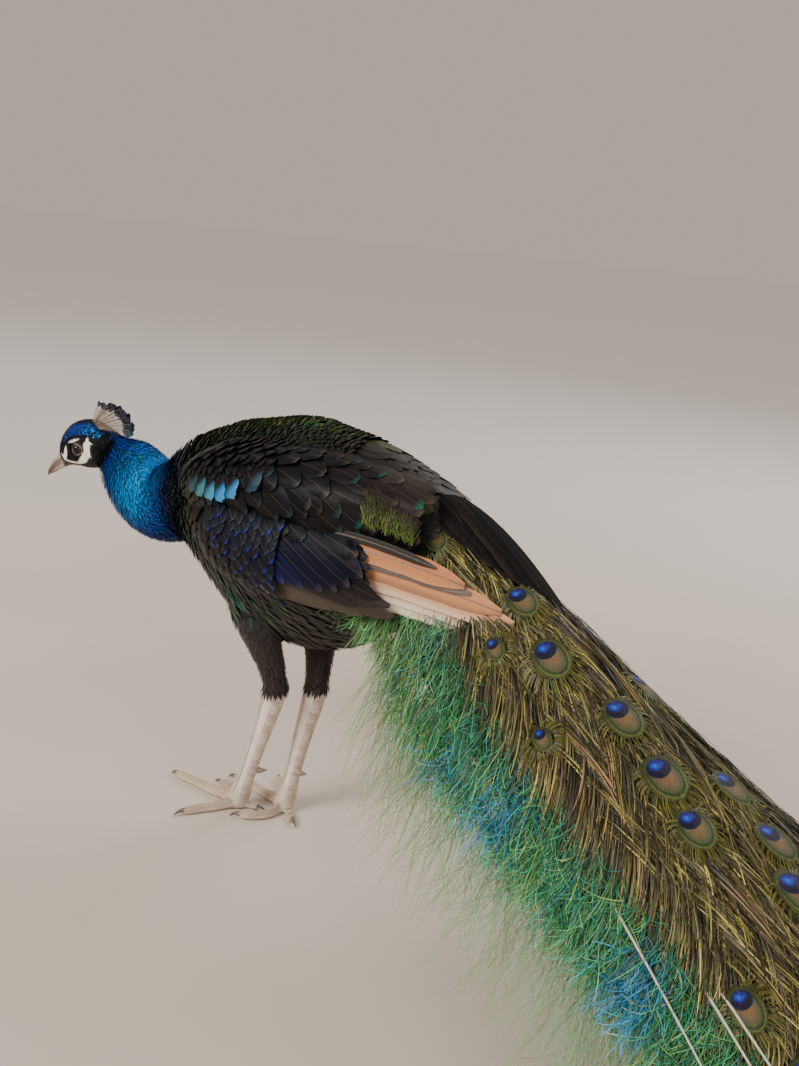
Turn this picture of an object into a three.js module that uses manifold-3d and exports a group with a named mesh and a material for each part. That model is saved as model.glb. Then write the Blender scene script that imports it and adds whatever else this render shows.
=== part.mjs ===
// An Indian peacock of the black-shouldered form, standing with its head low and its train laid out behind.
//
// Frame: millimetres, +Z up. The bird faces -X and its left side is at -Y. The shapes are written about the point
// of the floor between the two feet, and the last lines move the whole bird so that its origin is the middle
// of its bounding box, on the floor.

import * as THREE from 'three';
import { mergeVertices } from 'three/addons/utils/BufferGeometryUtils.js';
import Module from 'manifold-3d';

const wasm = await Module();
wasm.setup();

// ---------------------------------------------------------------------------------------------------------
// Driving dimensions
// ---------------------------------------------------------------------------------------------------------

const GAP = 0.3; // clear space kept between two neighbouring pieces
const LEFT = -1; // sign of Y on the bird's left
const RIGHT = 1; // sign of Y on the bird's right

const EYE_RADIUS = 7.6;
const EYE_PLACE = { x: -273.5, side: 14.1, z: 359.5 };

const CREST_FEATHERS = 13;
const CREST_ROW = 1.3; // how far each of the two rows stands from the midline
const CREST_SHAFT = 0.7; // half the thickness of a bare shaft
const CREST_TIP = 3.0; // half the width of a spatulate tip

const TOE_RADIUS = 5.4;
const TOE_SIDES = 6;
const CLAW_LENGTH = 13;

const PRIMARIES_SHOWN = 5;
const PRIMARY_HALF_WIDTH = 11;
const PRIMARY_HALF_THICKNESS = 2;

const WING_HANG = { from: 0, to: 280, drop: 44, inward: 16 };

const TRAIN_ROOT = { x: 185, y: -1 };
const TRAIN_SWING = THREE.MathUtils.degToRad(18.4); // the train trails towards the bird's left
const TRAIN_LENGTH = 1240; // along the floor plan, from its root to its tip
const TRAIN_CUTS = [330, 640, 930]; // where its lengths meet, along the floor plan
const TIP_FEATHERS = 7;
const TIP_SPREAD = { root: 100, end: 148 }; // half the width of the tip's loose fan, at its roots and its ends
const TIP_ROUNDING = 64; // how much shorter the outermost feathers of the fan end

const SPUR_LENGTH = 18;

const COLOURS = {
  cobalt: 0x1450b4,
  turquoise: 0x0f83b8,
  navy: 0x1a2138,
  black: 0x17181c,
  darkBrown: 0x2c2522,
  chestnut: 0xd09a72,
  bronze: 0x6b5c22,
  green: 0x2f6b3f,
  horn: 0xa8968e,
  skin: 0xd9c5b6,
  eye: 0x2a2624,
  tail: 0x5a4a3c,
};

// ---------------------------------------------------------------------------------------------------------
// Shape helpers
// ---------------------------------------------------------------------------------------------------------

const vector = ([x, y, z]) => new THREE.Vector3(x, y, z);

/** A smooth value at t (0 to 1) through evenly spaced values. */
function blend(values, t) {
  const place = t * (values.length - 1);
  const index = Math.min(Math.floor(place), values.length - 2);
  const f = place - index;
  const at = (k) => values[THREE.MathUtils.clamp(k, 0, values.length - 1)];
  const before = at(index - 1);
  const start = at(index);
  const end = at(index + 1);
  const after = at(index + 2);
  const slopeIn = (end - before) / 2;
  const slopeOut = (after - start) / 2;
  const f2 = f * f;
  const f3 = f2 * f;
  return (2 * f3 - 3 * f2 + 1) * start + (f3 - 2 * f2 + f) * slopeIn
    + (3 * f2 - 2 * f3) * end + (f3 - f2) * slopeOut;
}

/** A closed surface through rings that all have the same number of points, with a flat cap at each end. */
function loft(rings) {
  const sides = rings[0].length;
  const points = rings.flat();
  const middles = [rings[0], rings[rings.length - 1]].map((ring) => {
    const sum = ring.reduce((total, point) => total.add(point), new THREE.Vector3());
    return sum.divideScalar(sides);
  });
  const firstMiddle = points.length;
  const lastMiddle = firstMiddle + 1;
  const lastRing = (rings.length - 1) * sides;
  const triangles = [];
  for (let side = 0; side < sides; side += 1) {
    const next = (side + 1) % sides;
    for (let ring = 0; ring < rings.length - 1; ring += 1) {
      const here = ring * sides;
      const there = here + sides;
      triangles.push(here + side, here + next, there + next);
      triangles.push(here + side, there + next, there + side);
    }
    triangles.push(firstMiddle, next, side);
    triangles.push(lastMiddle, lastRing + side, lastRing + next);
  }
  const geometry = new THREE.BufferGeometry();
  geometry.setFromPoints([...points, ...middles]);
  geometry.setIndex(outward(triangles, [...points, ...middles]));
  return geometry;
}

/** The same triangles, turned over if they enclose a negative volume. */
function outward(triangles, points) {
  let volume = 0;
  for (let i = 0; i < triangles.length; i += 3) {
    const [a, b, c] = [0, 1, 2].map((k) => points[triangles[i + k]]);
    volume += a.dot(new THREE.Vector3().crossVectors(b, c));
  }
  if (volume > 0) return triangles;
  const turned = [];
  for (let i = 0; i < triangles.length; i += 3) {
    turned.push(triangles[i], triangles[i + 2], triangles[i + 1]);
  }
  return turned;
}

/**
 * A rounded limb or body along a path: at each station it reaches half to each side, above along the
 * upward normal and below against it. floor is the lowest Z that any point may take.
 */
function roundBody({ path, half, above, below, side = [0, 1, 0], sides = 16, steps = 12, grow = 0, floor }) {
  const curve = new THREE.CatmullRomCurve3(path.map(vector));
  const across = vector(side).normalize();
  const rings = [];
  for (let step = 0; step <= steps; step += 1) {
    const t = step / steps;
    const centre = curve.getPoint(t);
    const along = curve.getTangent(t);
    const up = new THREE.Vector3().crossVectors(along, across).normalize();
    const ring = [];
    for (let k = 0; k < sides; k += 1) {
      const angle = (2 * Math.PI * k) / sides;
      const reach = Math.sin(angle) >= 0 ? blend(above, t) : blend(below, t);
      const point = centre.clone();
      point.addScaledVector(across, (blend(half, t) + grow) * Math.cos(angle));
      point.addScaledVector(up, (reach + grow) * Math.sin(angle));
      if (floor !== undefined) point.z = Math.max(point.z, floor);
      ring.push(point);
    }
    rings.push(ring);
  }
  return loft(rings);
}

/**
 * A blade of laid feathers along a path. face is the outward normal of its middle; cup is how far its two
 * edges curl back behind the middle, and floor is the lowest Z that any point may take.
 */
function blade({ path, half, thick, cup, face, sides = 12, steps = 10, grow = 0, floor }) {
  const curve = new THREE.CatmullRomCurve3(path.map(vector));
  const outwardFace = vector(face);
  const rings = [];
  for (let step = 0; step <= steps; step += 1) {
    const t = step / steps;
    const centre = curve.getPoint(t);
    const along = curve.getTangent(t);
    const across = new THREE.Vector3().crossVectors(along, outwardFace).normalize();
    const normal = new THREE.Vector3().crossVectors(across, along).normalize();
    const width = blend(half, t);
    const ring = [];
    for (let k = 0; k < sides; k += 1) {
      const angle = (2 * Math.PI * k) / sides;
      const sideways = (width + grow) * Math.cos(angle);
      const lift = (blend(thick, t) + grow) * Math.sin(angle) - blend(cup, t) * (sideways / width) ** 2;
      const point = centre.clone();
      point.addScaledVector(across, sideways);
      point.addScaledVector(normal, lift);
      if (floor !== undefined) point.z = Math.max(point.z, floor);
      ring.push(point);
    }
    rings.push(ring);
  }
  return loft(rings);
}

/** A solid that can be joined and cut, from a closed geometry. */
function solid(geometry) {
  const plain = geometry.clone();
  plain.deleteAttribute('normal');
  plain.deleteAttribute('uv');
  const merged = mergeVertices(plain, 1e-4);
  return new wasm.Manifold(new wasm.Mesh({
    numProp: 3,
    vertProperties: new Float32Array(merged.attributes.position.array),
    triVerts: new Uint32Array(merged.index.array),
  }));
}

const joined = (solids) => solids.reduce((whole, piece) => whole.add(piece));
const carved = (body, cutters) => cutters.reduce((rest, cutter) => rest.subtract(cutter), body);

/** The largest connected body of a solid, without the slivers that a cut can leave. */
function largest(body) {
  const bodies = body.decompose();
  return bodies.reduce((best, other) => (other.volume() > best.volume() ? other : best));
}

/** The two sides of a plane through point, with the gap kept between them; the first lies along direction. */
function parted(body, point, direction) {
  const normal = vector(direction).normalize();
  const offset = normal.dot(vector(point));
  const front = body.trimByPlane(normal.toArray(), offset + GAP / 2);
  const back = body.trimByPlane(normal.clone().negate().toArray(), -offset + GAP / 2);
  return [front, back];
}

const bird = new THREE.Group();

/** Adds one named node with its own material. */
function addNode(name, body, colour, roughness = 0.6, metalness = 0) {
  const mesh = largest(body).getMesh();
  const geometry = new THREE.BufferGeometry();
  geometry.setAttribute('position', new THREE.BufferAttribute(mesh.vertProperties, 3));
  geometry.setIndex(new THREE.BufferAttribute(mesh.triVerts, 1));
  geometry.computeVertexNormals();
  const node = new THREE.Mesh(geometry, new THREE.MeshStandardMaterial({ color: colour, roughness, metalness }));
  node.name = name;
  bird.add(node);
}

// ---------------------------------------------------------------------------------------------------------
// Trunk, neck and head
// ---------------------------------------------------------------------------------------------------------

/** Breast, back, belly and rump, down to the root of the tail. */
function trunkShape(grow = 0) {
  return solid(roundBody({
    path: [[-146, 0, 330], [-108, 0, 333], [-55, 0, 328], [5, 0, 322], [65, 0, 324], [125, 0, 335],
      [185, 0, 342], [240, -6, 335], [275, -12, 322]],
    half: [26, 46, 68, 78, 79, 73, 60, 44, 18],
    above: [34, 72, 104, 122, 124, 104, 66, 34, 12],
    below: [26, 43, 76, 113, 118, 98, 76, 44, 12],
    sides: 18,
    steps: 14,
    grow,
  }));
}

/** The folded neck, from behind the head down and back into the breast. */
function neckShape() {
  return solid(roundBody({
    path: [[-262, 0, 364], [-238, 0, 356], [-213, 0, 341], [-186, 0, 326], [-155, 0, 319], [-120, 0, 331],
      [-86, 0, 334]],
    half: [18, 22, 29, 35, 39, 44, 50],
    above: [22, 30, 47, 50, 42, 46, 50],
    below: [18, 20, 33, 42, 45, 48, 50],
    sides: 16,
    steps: 11,
  }));
}

/** The head without its bill, from the nape to the lores. */
function headShape(grow = 0) {
  return solid(roundBody({
    path: [[-226, 0, 360], [-244, 0, 362], [-262, 0, 363], [-280, 0, 360], [-296, 0, 352], [-307, 0, 344],
      [-313, 0, 339]],
    half: [16, 19.5, 20, 18.6, 14.5, 8.5, 4],
    above: [20, 25, 31, 30, 23, 12.5, 5],
    below: [18, 21, 25, 24, 18, 10, 4],
    side: [0, -1, 0],
    sides: 14,
    steps: 10,
    grow,
  }));
}

/** One eyeball, set in the head so that only its cornea stands out. */
function eyeShape(sign, grow = 0) {
  const ball = new THREE.SphereGeometry(EYE_RADIUS + grow, 12, 6);
  ball.translate(EYE_PLACE.x, sign * EYE_PLACE.side, EYE_PLACE.z);
  return solid(ball);
}

function upperBillShape(grow = 0) {
  return solid(roundBody({
    path: [[-296, 0, 349], [-306, 0, 345], [-316, 0, 338], [-325, 0, 330], [-332, 0, 322], [-336, 0, 316]],
    half: [8.5, 7.6, 6.4, 4.8, 3.0, 0.8],
    above: [7, 7.6, 6.8, 5.4, 3.6, 1.2],
    below: [5, 4.4, 3.8, 3.0, 2.0, 0.8],
    side: [0, -1, 0],
    sides: 10,
    steps: 7,
    grow,
  }));
}

function lowerBillShape() {
  return solid(roundBody({
    path: [[-292, 0, 341], [-302, 0, 337], [-312, 0, 331], [-321, 0, 324], [-328, 0, 317.5]],
    half: [7.5, 6.8, 5.4, 3.8, 1.2],
    above: [6, 5, 4.4, 3.4, 1.6],
    below: [5, 4.6, 3.6, 2.4, 0.8],
    side: [0, -1, 0],
    sides: 10,
    steps: 6,
  }));
}

function addBody() {
  const body = joined([trunkShape(), neckShape(), headShape()]);
  const [frontPart, trunk] = parted(body, [-126, 0, 335], [-1, 0, 0.06]);
  const [head, neck] = parted(frontPart, [-241, 0, 357], [-0.88, 0, 0.47]);
  const sockets = [eyeShape(LEFT, GAP), eyeShape(RIGHT, GAP)];
  addNode('head', carved(head, sockets), COLOURS.cobalt);
  addNode('neck', neck, COLOURS.turquoise);
  addNode('trunk', trunk, COLOURS.black);
  addNode('eye_left', eyeShape(LEFT), COLOURS.eye, 0.1);
  addNode('eye_right', eyeShape(RIGHT), COLOURS.eye, 0.1);
  addNode('bill_upper', carved(upperBillShape(), [headShape(GAP)]), COLOURS.horn, 0.4);
  addNode('bill_lower', carved(lowerBillShape(), [headShape(GAP), upperBillShape(GAP)]), COLOURS.horn, 0.4);
}

// ---------------------------------------------------------------------------------------------------------
// Crest: a swept fan of bare shafts with spatulate tips
// ---------------------------------------------------------------------------------------------------------

/** One crest feather; t runs from the foremost (0) to the hindmost (1), and row is its side of the midline. */
function crestFeather(t, row) {
  const lean = THREE.MathUtils.degToRad(THREE.MathUtils.lerp(93, 7, t));
  const length = THREE.MathUtils.lerp(30, 43, Math.sin(t * Math.PI * 0.7));
  const root = [THREE.MathUtils.lerp(-258, -240, t), row * CREST_ROW, THREE.MathUtils.lerp(391, 388.5, t)];
  const along = [Math.cos(lean), 0, Math.sin(lean)];
  const place = (share) => root.map((value, axis) => value + along[axis] * length * share);
  return solid(blade({
    path: [0, 0.66, 0.86, 1].map(place),
    half: [CREST_SHAFT, CREST_SHAFT, CREST_TIP, 0.8],
    thick: [CREST_SHAFT, CREST_SHAFT, CREST_SHAFT, 0.4],
    cup: [0, 0],
    face: [0, 1, 0],
    sides: 4,
    steps: 3,
  }));
}

function addCrest() {
  const feathers = Array.from({ length: CREST_FEATHERS }, (_, i) => (
    crestFeather(i / (CREST_FEATHERS - 1), i % 2 === 0 ? LEFT : RIGHT)));
  const pad = solid(roundBody({
    path: [[-263, 0, 391], [-254, 0, 392], [-245, 0, 390.5], [-235, 0, 387]],
    half: [1, 3.5, 3.5, 1],
    above: [1, 3.5, 3.5, 1],
    below: [1, 4, 4, 1],
    sides: 6,
    steps: 4,
  }));
  addNode('crest', carved(joined([pad, ...feathers]), [headShape(GAP), neckShape()]), COLOURS.cobalt);
}

// ---------------------------------------------------------------------------------------------------------
// Legs
// ---------------------------------------------------------------------------------------------------------

// The bird stands with its left foot ahead of its right. Each toe is listed from the ball of the foot to the
// tip of its claw, on the floor plan.
const LEGS = {
  left: {
    sign: LEFT,
    thigh: [[2, -38, 268], [6, -35, 236], [14, -28, 204], [20, -21, 178], [25, -16, 152]],
    tarsus: [[25, -15, 164], [22, -15, 148], [5, -14, 88], [-7, -14, 44], [-16, -13, 14]],
    toes: {
      middle: [[-17, -13], [-52, -10], [-88, -7], [-123, -4]],
      inner: [[-17, -11], [-37, 0], [-56, 9], [-73, 14]],
      outer: [[-17, -16], [-31, -36], [-44, -56], [-56, -76]],
      hind: [[-15, -13], [-5, -9], [3, -6], [11, -3]],
    },
  },
  right: {
    sign: RIGHT,
    thigh: [[26, 40, 268], [36, 37, 234], [44, 32, 204], [48, 27, 176], [49, 24, 149]],
    tarsus: [[50, 24, 160], [48, 24, 144], [38, 20, 88], [31, 17, 44], [26, 15, 14]],
    toes: {
      middle: [[26, 15], [-6, 22], [-36, 29], [-68, 33]],
      inner: [[26, 13], [25, -9], [13, -26], [-10, -38]],
      outer: [[26, 17], [10, 36], [-8, 54], [-26, 71]],
      hind: [[28, 13], [38, 5], [49, -4], [60, -12]],
    },
  },
};

function thighShape(leg, grow = 0) {
  return solid(roundBody({
    path: leg.thigh,
    half: [26, 24, 18, 14, 12.5],
    above: [34, 27, 19, 16, 14.5],
    below: [34, 28, 21, 17, 15.5],
    sides: 14,
    steps: 8,
    grow,
  }));
}

function tarsusShape(leg) {
  const shank = solid(roundBody({
    path: leg.tarsus,
    half: [8, 10.5, 8.4, 8.4, 10.5],
    above: [9, 13, 10.2, 8.8, 11.5],
    below: [9, 13, 10.2, 8.8, 11.5],
    sides: 10,
    steps: 6,
  }));
  const root = vector(leg.tarsus[3]).add(new THREE.Vector3(4, -leg.sign * 2, 6));
  const tip = root.clone().add(new THREE.Vector3(SPUR_LENGTH, -leg.sign * 3, 3));
  const middle = root.clone().lerp(tip, 0.5).add(new THREE.Vector3(0, 0, -1));
  const spur = solid(roundBody({
    path: [root.toArray(), middle.toArray(), tip.toArray()],
    half: [4.5, 3.4, 0.6],
    above: [4.5, 3.4, 0.6],
    below: [4.5, 3.4, 0.6],
    sides: 6,
    steps: 2,
  }));
  return shank.add(spur);
}

/** One toe with its claw, resting on a narrow flat of its own sole. */
function toeShape(route, radius) {
  const start = route[0];
  const end = route[route.length - 1];
  const last = route[route.length - 2];
  const run = Math.hypot(end[0] - last[0], end[1] - last[1]);
  const onward = [(end[0] - last[0]) / run, (end[1] - last[1]) / run];
  const nail = [end[0] - onward[0] * CLAW_LENGTH, end[1] - onward[1] * CLAW_LENGTH];
  const low = radius * 0.72; // the sole is cut flat at the floor
  return solid(roundBody({
    path: [
      [start[0], start[1], low + 5], [route[1][0], route[1][1], low + 0.6], [last[0], last[1], low],
      [nail[0], nail[1], low], [(nail[0] + end[0]) / 2, (nail[1] + end[1]) / 2, low + 0.6],
      [end[0], end[1], 1.2],
    ],
    half: [radius * 1.3, radius * 1.05, radius, radius * 0.86, radius * 0.5, 0.7],
    above: [radius * 1.3, radius * 1.1, radius, radius * 0.86, radius * 0.5, 0.7],
    below: [radius * 1.5, radius * 1.2, radius, radius * 0.9, radius * 0.6, 0.8],
    side: [-onward[1], onward[0], 0],
    sides: TOE_SIDES,
    steps: 4,
    floor: 0,
  }));
}

function footShape(leg) {
  const { middle, inner, outer, hind } = leg.toes;
  const toes = [toeShape(middle, TOE_RADIUS), toeShape(inner, TOE_RADIUS * 0.9),
    toeShape(outer, TOE_RADIUS * 0.9), toeShape(hind, TOE_RADIUS * 0.78)];
  const [x, y] = middle[0];
  const ball = solid(roundBody({
    path: [[x + 1.5, y, 26], [x, y, 16], [x - 2, y, 6], [x - 3, y, -4]],
    half: [8.6, 10.4, 11, 8],
    above: [10, 11.5, 13, 9],
    below: [10, 11.5, 12, 8],
    side: [0, -1, 0],
    sides: 8,
    steps: 4,
    floor: 0,
  }));
  return joined([ball, ...toes]);
}

function addLegs() {
  for (const [name, leg] of Object.entries(LEGS)) {
    const ball = leg.toes.middle[0];
    const limb = tarsusShape(leg).add(footShape(leg));
    const [tarsus, foot] = parted(limb, [ball[0], ball[1], 20], [0, 0, 1]);
    const thigh = carved(thighShape(leg), [trunkShape(GAP)]);
    addNode(`thigh_${name}`, thigh, COLOURS.darkBrown);
    addNode(`tarsus_${name}`, carved(tarsus, [thighShape(leg, GAP)]), COLOURS.skin);
    addNode(`foot_${name}`, foot, COLOURS.skin);
  }
}

// ---------------------------------------------------------------------------------------------------------
// Wings
// ---------------------------------------------------------------------------------------------------------

const onSide = (sign, path) => path.map(([x, y, z]) => [x, sign * y, z]);

/** The right wing hangs a little lower towards its tip and closer to the body than the left one. */
function hung(sign, path) {
  if (sign === LEFT) return path;
  return path.map(([x, y, z]) => {
    const share = THREE.MathUtils.smoothstep(x, WING_HANG.from, WING_HANG.to);
    return [x, y - share * WING_HANG.inward, z - share * WING_HANG.drop];
  });
}

/** Shoulder, scapulars and coverts, wrapped over the upper side of the body. */
function covertsShape(sign, grow = 0) {
  return solid(blade({
    path: onSide(sign, hung(sign, [[-88, 46, 370], [-52, 68, 380], [0, 81, 386], [60, 85, 389], [120, 80, 390],
      [175, 67, 386], [228, 52, 374]])),
    half: [18, 46, 62, 66, 62, 44, 8],
    thick: [8, 12, 12, 11, 10, 8, 3],
    cup: [8, 32, 58, 68, 60, 34, 6],
    face: [0, sign, 0.4],
    sides: 14,
    steps: 10,
    grow,
  }));
}

/** The folded secondaries, under the coverts, with their rounded tips behind. */
function secondariesShape(sign, grow = 0) {
  return solid(blade({
    path: onSide(sign, hung(sign, [[-60, 64, 352], [-16, 83, 332], [40, 91, 319], [100, 92, 317],
      [155, 90, 314], [206, 86, 300]])),
    half: [18, 44, 50, 44, 33, 6],
    thick: [8, 10, 9, 8, 6, 2.5],
    cup: [4, 14, 18, 14, 8, 1],
    face: [0, sign, -0.12],
    sides: 12,
    steps: 9,
    grow,
  }));
}

/** The long flight feathers, fanned a little, each one reaching farther back than the one above it. */
function primariesShape(sign, grow = 0) {
  const feathers = Array.from({ length: PRIMARIES_SHOWN }, (_, i) => {
    const t = i / (PRIMARIES_SHOWN - 1);
    const root = [THREE.MathUtils.lerp(96, 92, t), 84 - t, THREE.MathUtils.lerp(344, 310, t)];
    const tip = [blend([264, 306, 316, 304], t), THREE.MathUtils.lerp(86, 78, t), blend([343, 330, 316, 306], t)];
    const middle = root.map((value, axis) => (value + tip[axis]) / 2 + (axis === 2 ? 2 : 0));
    return solid(blade({
      path: onSide(sign, hung(sign, [root, middle, tip])),
      half: [PRIMARY_HALF_WIDTH * 0.8, PRIMARY_HALF_WIDTH, PRIMARY_HALF_WIDTH, 4],
      thick: [PRIMARY_HALF_THICKNESS, PRIMARY_HALF_THICKNESS, PRIMARY_HALF_THICKNESS * 0.7, 0.5],
      cup: [1, 2, 1, 0],
      face: [0, sign, 0.1],
      sides: 6,
      steps: 3,
      grow,
    }));
  });
  return joined(feathers);
}

/** The long tertials of the right wing, which lie over the root of the train. */
function tertialsShape(sign, grow = 0) {
  return solid(blade({
    path: onSide(sign, [[112, 36, 420], [160, 38, 396], [212, 44, 358], [260, 54, 322], [306, 66, 286]]),
    half: [18, 26, 26, 18, 3],
    thick: [4, 5, 5, 4, 1.5],
    cup: [8, 10, 8, 4, 0],
    face: [0.35, sign * 0.55, 0.8],
    sides: 10,
    steps: 7,
    grow,
  }));
}

const WING_SIDES = { left: LEFT, right: RIGHT };

function addWings() {
  const trunk = trunkShape(GAP);
  for (const [name, sign] of Object.entries(WING_SIDES)) {
    const coverts = carved(covertsShape(sign), [trunk]);
    const secondaries = carved(secondariesShape(sign), [trunk, covertsShape(sign, GAP)]);
    const upperLayers = [trunk, covertsShape(sign, GAP), secondariesShape(sign, GAP)];
    addNode(`wing_${name}_coverts`, coverts, COLOURS.black, 0.45);
    addNode(`wing_${name}_secondaries`, secondaries, COLOURS.darkBrown, 0.5);
    if (sign === RIGHT) {
      addNode(`wing_${name}_tertials`, carved(tertialsShape(sign), upperLayers), COLOURS.black, 0.5);
      upperLayers.push(tertialsShape(sign, GAP));
    }
    addNode(`wing_${name}_primaries`, carved(primariesShape(sign), upperLayers), COLOURS.chestnut);
  }
}

// ---------------------------------------------------------------------------------------------------------
// Train and tail
// ---------------------------------------------------------------------------------------------------------

/** A point of the train, from its distance along the floor plan, its offset to the right and its height. */
function trainPoint(distance, offset, height) {
  const cos = Math.cos(TRAIN_SWING);
  const sin = Math.sin(TRAIN_SWING);
  return [TRAIN_ROOT.x + distance * cos + offset * sin, TRAIN_ROOT.y - distance * sin + offset * cos, height];
}

const trainStations = (heights) => heights.map((height, i) => (
  trainPoint((TRAIN_LENGTH * i) / (heights.length - 1), 0, height)));

/** The arch of long upper tail coverts: its ridge falls evenly to the floor and then lies along it. */
function trainShape(grow = 0) {
  return solid(blade({
    path: trainStations([362, 314, 260, 207, 158, 112, 68, 30, 10, 5, 2.5]),
    half: [70, 88, 108, 128, 144, 155, 164, 168, 162, 138, 64],
    thick: [30, 29, 25, 22, 19, 17, 15, 13, 10, 6, 3],
    cup: [66, 100, 86, 66, 62, 62, 50, 24, 6, 2, 0],
    face: [0, 0, 1],
    sides: 16,
    steps: 24,
    grow,
    floor: 0,
  }));
}

/** The longest feathers, whose ends stand apart round the tip of the train. */
function trainTipFeathers() {
  return Array.from({ length: TIP_FEATHERS }, (_, i) => {
    const spread = (2 * i) / (TIP_FEATHERS - 1) - 1;
    const root = trainPoint(TRAIN_LENGTH - 160, spread * TIP_SPREAD.root, 3);
    const tip = trainPoint(TRAIN_LENGTH + 18 - TIP_ROUNDING * spread * spread, spread * TIP_SPREAD.end, 2);
    const middle = root.map((value, axis) => (value + tip[axis]) / 2);
    return solid(blade({
      path: [root, middle, tip],
      half: [12, 18, 21, 6],
      thick: [4, 4, 4, 2.2],
      cup: [0, 0],
      face: [0, 0, 1],
      sides: 6,
      steps: 3,
      floor: 0,
    }));
  });
}

/** The true tail: a closed fan of plain feathers that carries the train from below. */
function tailShape() {
  const heights = [322, 282, 242, 204, 172];
  return solid(blade({
    path: heights.map((height, i) => trainPoint(30 + 95 * i, 0, height)),
    half: [26, 44, 56, 62, 40],
    thick: [9, 8, 6, 4, 1.5],
    cup: [16, 26, 30, 28, 14],
    face: [0, 0, 1],
    sides: 10,
    steps: 7,
  }));
}

function addTrain() {
  const trunk = trunkShape(GAP);
  const wings = Object.values(WING_SIDES).flatMap((sign) => [covertsShape(sign, GAP), secondariesShape(sign, GAP)]);
  const primaries = Object.values(WING_SIDES).map((sign) => primariesShape(sign, GAP));
  const whole = joined([trainShape(), ...trainTipFeathers()]);
  let rest = carved(whole, [trunk, ...wings, ...primaries, tertialsShape(RIGHT, GAP)]);
  const along = [Math.cos(TRAIN_SWING), -Math.sin(TRAIN_SWING), 0];
  const names = ['train_base', 'train_middle', 'train_rear', 'train_tip'];
  TRAIN_CUTS.forEach((distance, i) => {
    const [behind, ahead] = parted(rest, trainPoint(distance, 0, 0), along);
    addNode(names[i], ahead, COLOURS.bronze, 0.4, 0.3);
    rest = behind;
  });
  addNode(names[names.length - 1], rest, COLOURS.bronze, 0.4, 0.3);
  addNode('tail', carved(tailShape(), [trunk, trainShape(GAP)]), COLOURS.tail);
}

addBody();
addCrest();
addLegs();
addWings();
addTrain();

const middle = new THREE.Box3().setFromObject(bird).getCenter(new THREE.Vector3());
bird.position.set(-middle.x, -middle.y, 0);

export default bird;
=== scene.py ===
"""An Indian peacock of the black-shouldered form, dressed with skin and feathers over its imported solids.

Shapes are written in millimetres about the point of the floor between the feet, with the bird facing -X, its
left side at -Y and +Z up. SHIFT moves them into the shared frame, and every mesh is made in metres there.
"""

import math

import bmesh
import bpy
import numpy as np
from mathutils import Matrix, Vector
from mathutils.bvhtree import BVHTree


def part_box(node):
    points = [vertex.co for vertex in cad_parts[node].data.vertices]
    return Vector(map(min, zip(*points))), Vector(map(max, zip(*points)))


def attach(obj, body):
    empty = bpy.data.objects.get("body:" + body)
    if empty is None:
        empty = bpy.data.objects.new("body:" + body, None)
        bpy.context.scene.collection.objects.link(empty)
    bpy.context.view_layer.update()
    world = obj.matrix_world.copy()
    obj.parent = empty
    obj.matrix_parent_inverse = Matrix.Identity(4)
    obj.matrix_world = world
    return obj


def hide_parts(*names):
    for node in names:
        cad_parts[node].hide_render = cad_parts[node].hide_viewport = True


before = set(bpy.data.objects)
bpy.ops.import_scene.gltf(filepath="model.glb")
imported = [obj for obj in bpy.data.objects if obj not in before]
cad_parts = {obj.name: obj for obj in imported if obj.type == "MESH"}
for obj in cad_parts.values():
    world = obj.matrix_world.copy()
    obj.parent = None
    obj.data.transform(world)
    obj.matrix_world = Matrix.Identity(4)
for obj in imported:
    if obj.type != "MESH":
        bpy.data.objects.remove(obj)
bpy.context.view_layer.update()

MM = 0.001
LEFT = -1.0
RIGHT = 1.0
EYE = np.array([-273.5, -14.1, 359.5])  # centre of the left eyeball
EYE_RADIUS = 7.6

eye_low, eye_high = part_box("eye_left")
SHIFT = (np.array(eye_low) + np.array(eye_high)) / 2 / MM - EYE

# ---------------------------------------------------------------------------------------------------------
# Numbers and curves
# ---------------------------------------------------------------------------------------------------------


def unit(vectors):
    """The same directions with length one."""
    vectors = np.asarray(vectors, float)
    return vectors / np.maximum(np.linalg.norm(vectors, axis=-1, keepdims=True), 1e-9)


def mix(a, b, share):
    """From a to b by a share from 0 to 1."""
    return a + (b - a) * share


def bell(value, middle, width):
    """A soft peak of height 1."""
    return np.exp(-(((value - middle) / width) ** 2))


def smooth_step(low, high, value):
    """A soft rise from 0 at low to 1 at high; low may be the greater of the two."""
    share = np.clip((value - low) / (high - low), 0, 1)
    return share * share * (3 - 2 * share)


def spline(values, t):
    """A smooth value at t (0 to 1) through evenly spaced values or points."""
    values = np.asarray(values, float)
    place = np.clip(np.asarray(t, float), 0, 1) * (len(values) - 1)
    index = np.minimum(place.astype(int), len(values) - 2)
    f = place - index
    if values.ndim > 1:
        f = f[..., None]
    before = values[np.maximum(index - 1, 0)]
    start = values[index]
    end = values[index + 1]
    after = values[np.minimum(index + 2, len(values) - 1)]
    slope_in = (end - before) / 2
    slope_out = (after - start) / 2
    return (
        (2 * f**3 - 3 * f**2 + 1) * start
        + (f**3 - 2 * f**2 + f) * slope_in
        + (3 * f**2 - 2 * f**3) * end
        + (f**3 - f**2) * slope_out
    )


def heading(path, t):
    """The direction of a path at t."""
    t = np.asarray(t, float)
    step = 0.004
    return unit(spline(path, np.minimum(t + step, 1)) - spline(path, np.maximum(t - step, 0)))


def hashed(count, seed, low=0.0, high=1.0):
    """Repeatable random numbers that don't depend on what was drawn before."""
    return np.random.default_rng(seed).uniform(low, high, count)


def colour(text):
    """A linear colour from an sRGB hex number."""
    channels = np.array([int(text[i : i + 2], 16) / 255 for i in (0, 2, 4)])
    return np.where(channels <= 0.04045, channels / 12.92, ((channels + 0.055) / 1.055) ** 2.4)


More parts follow.
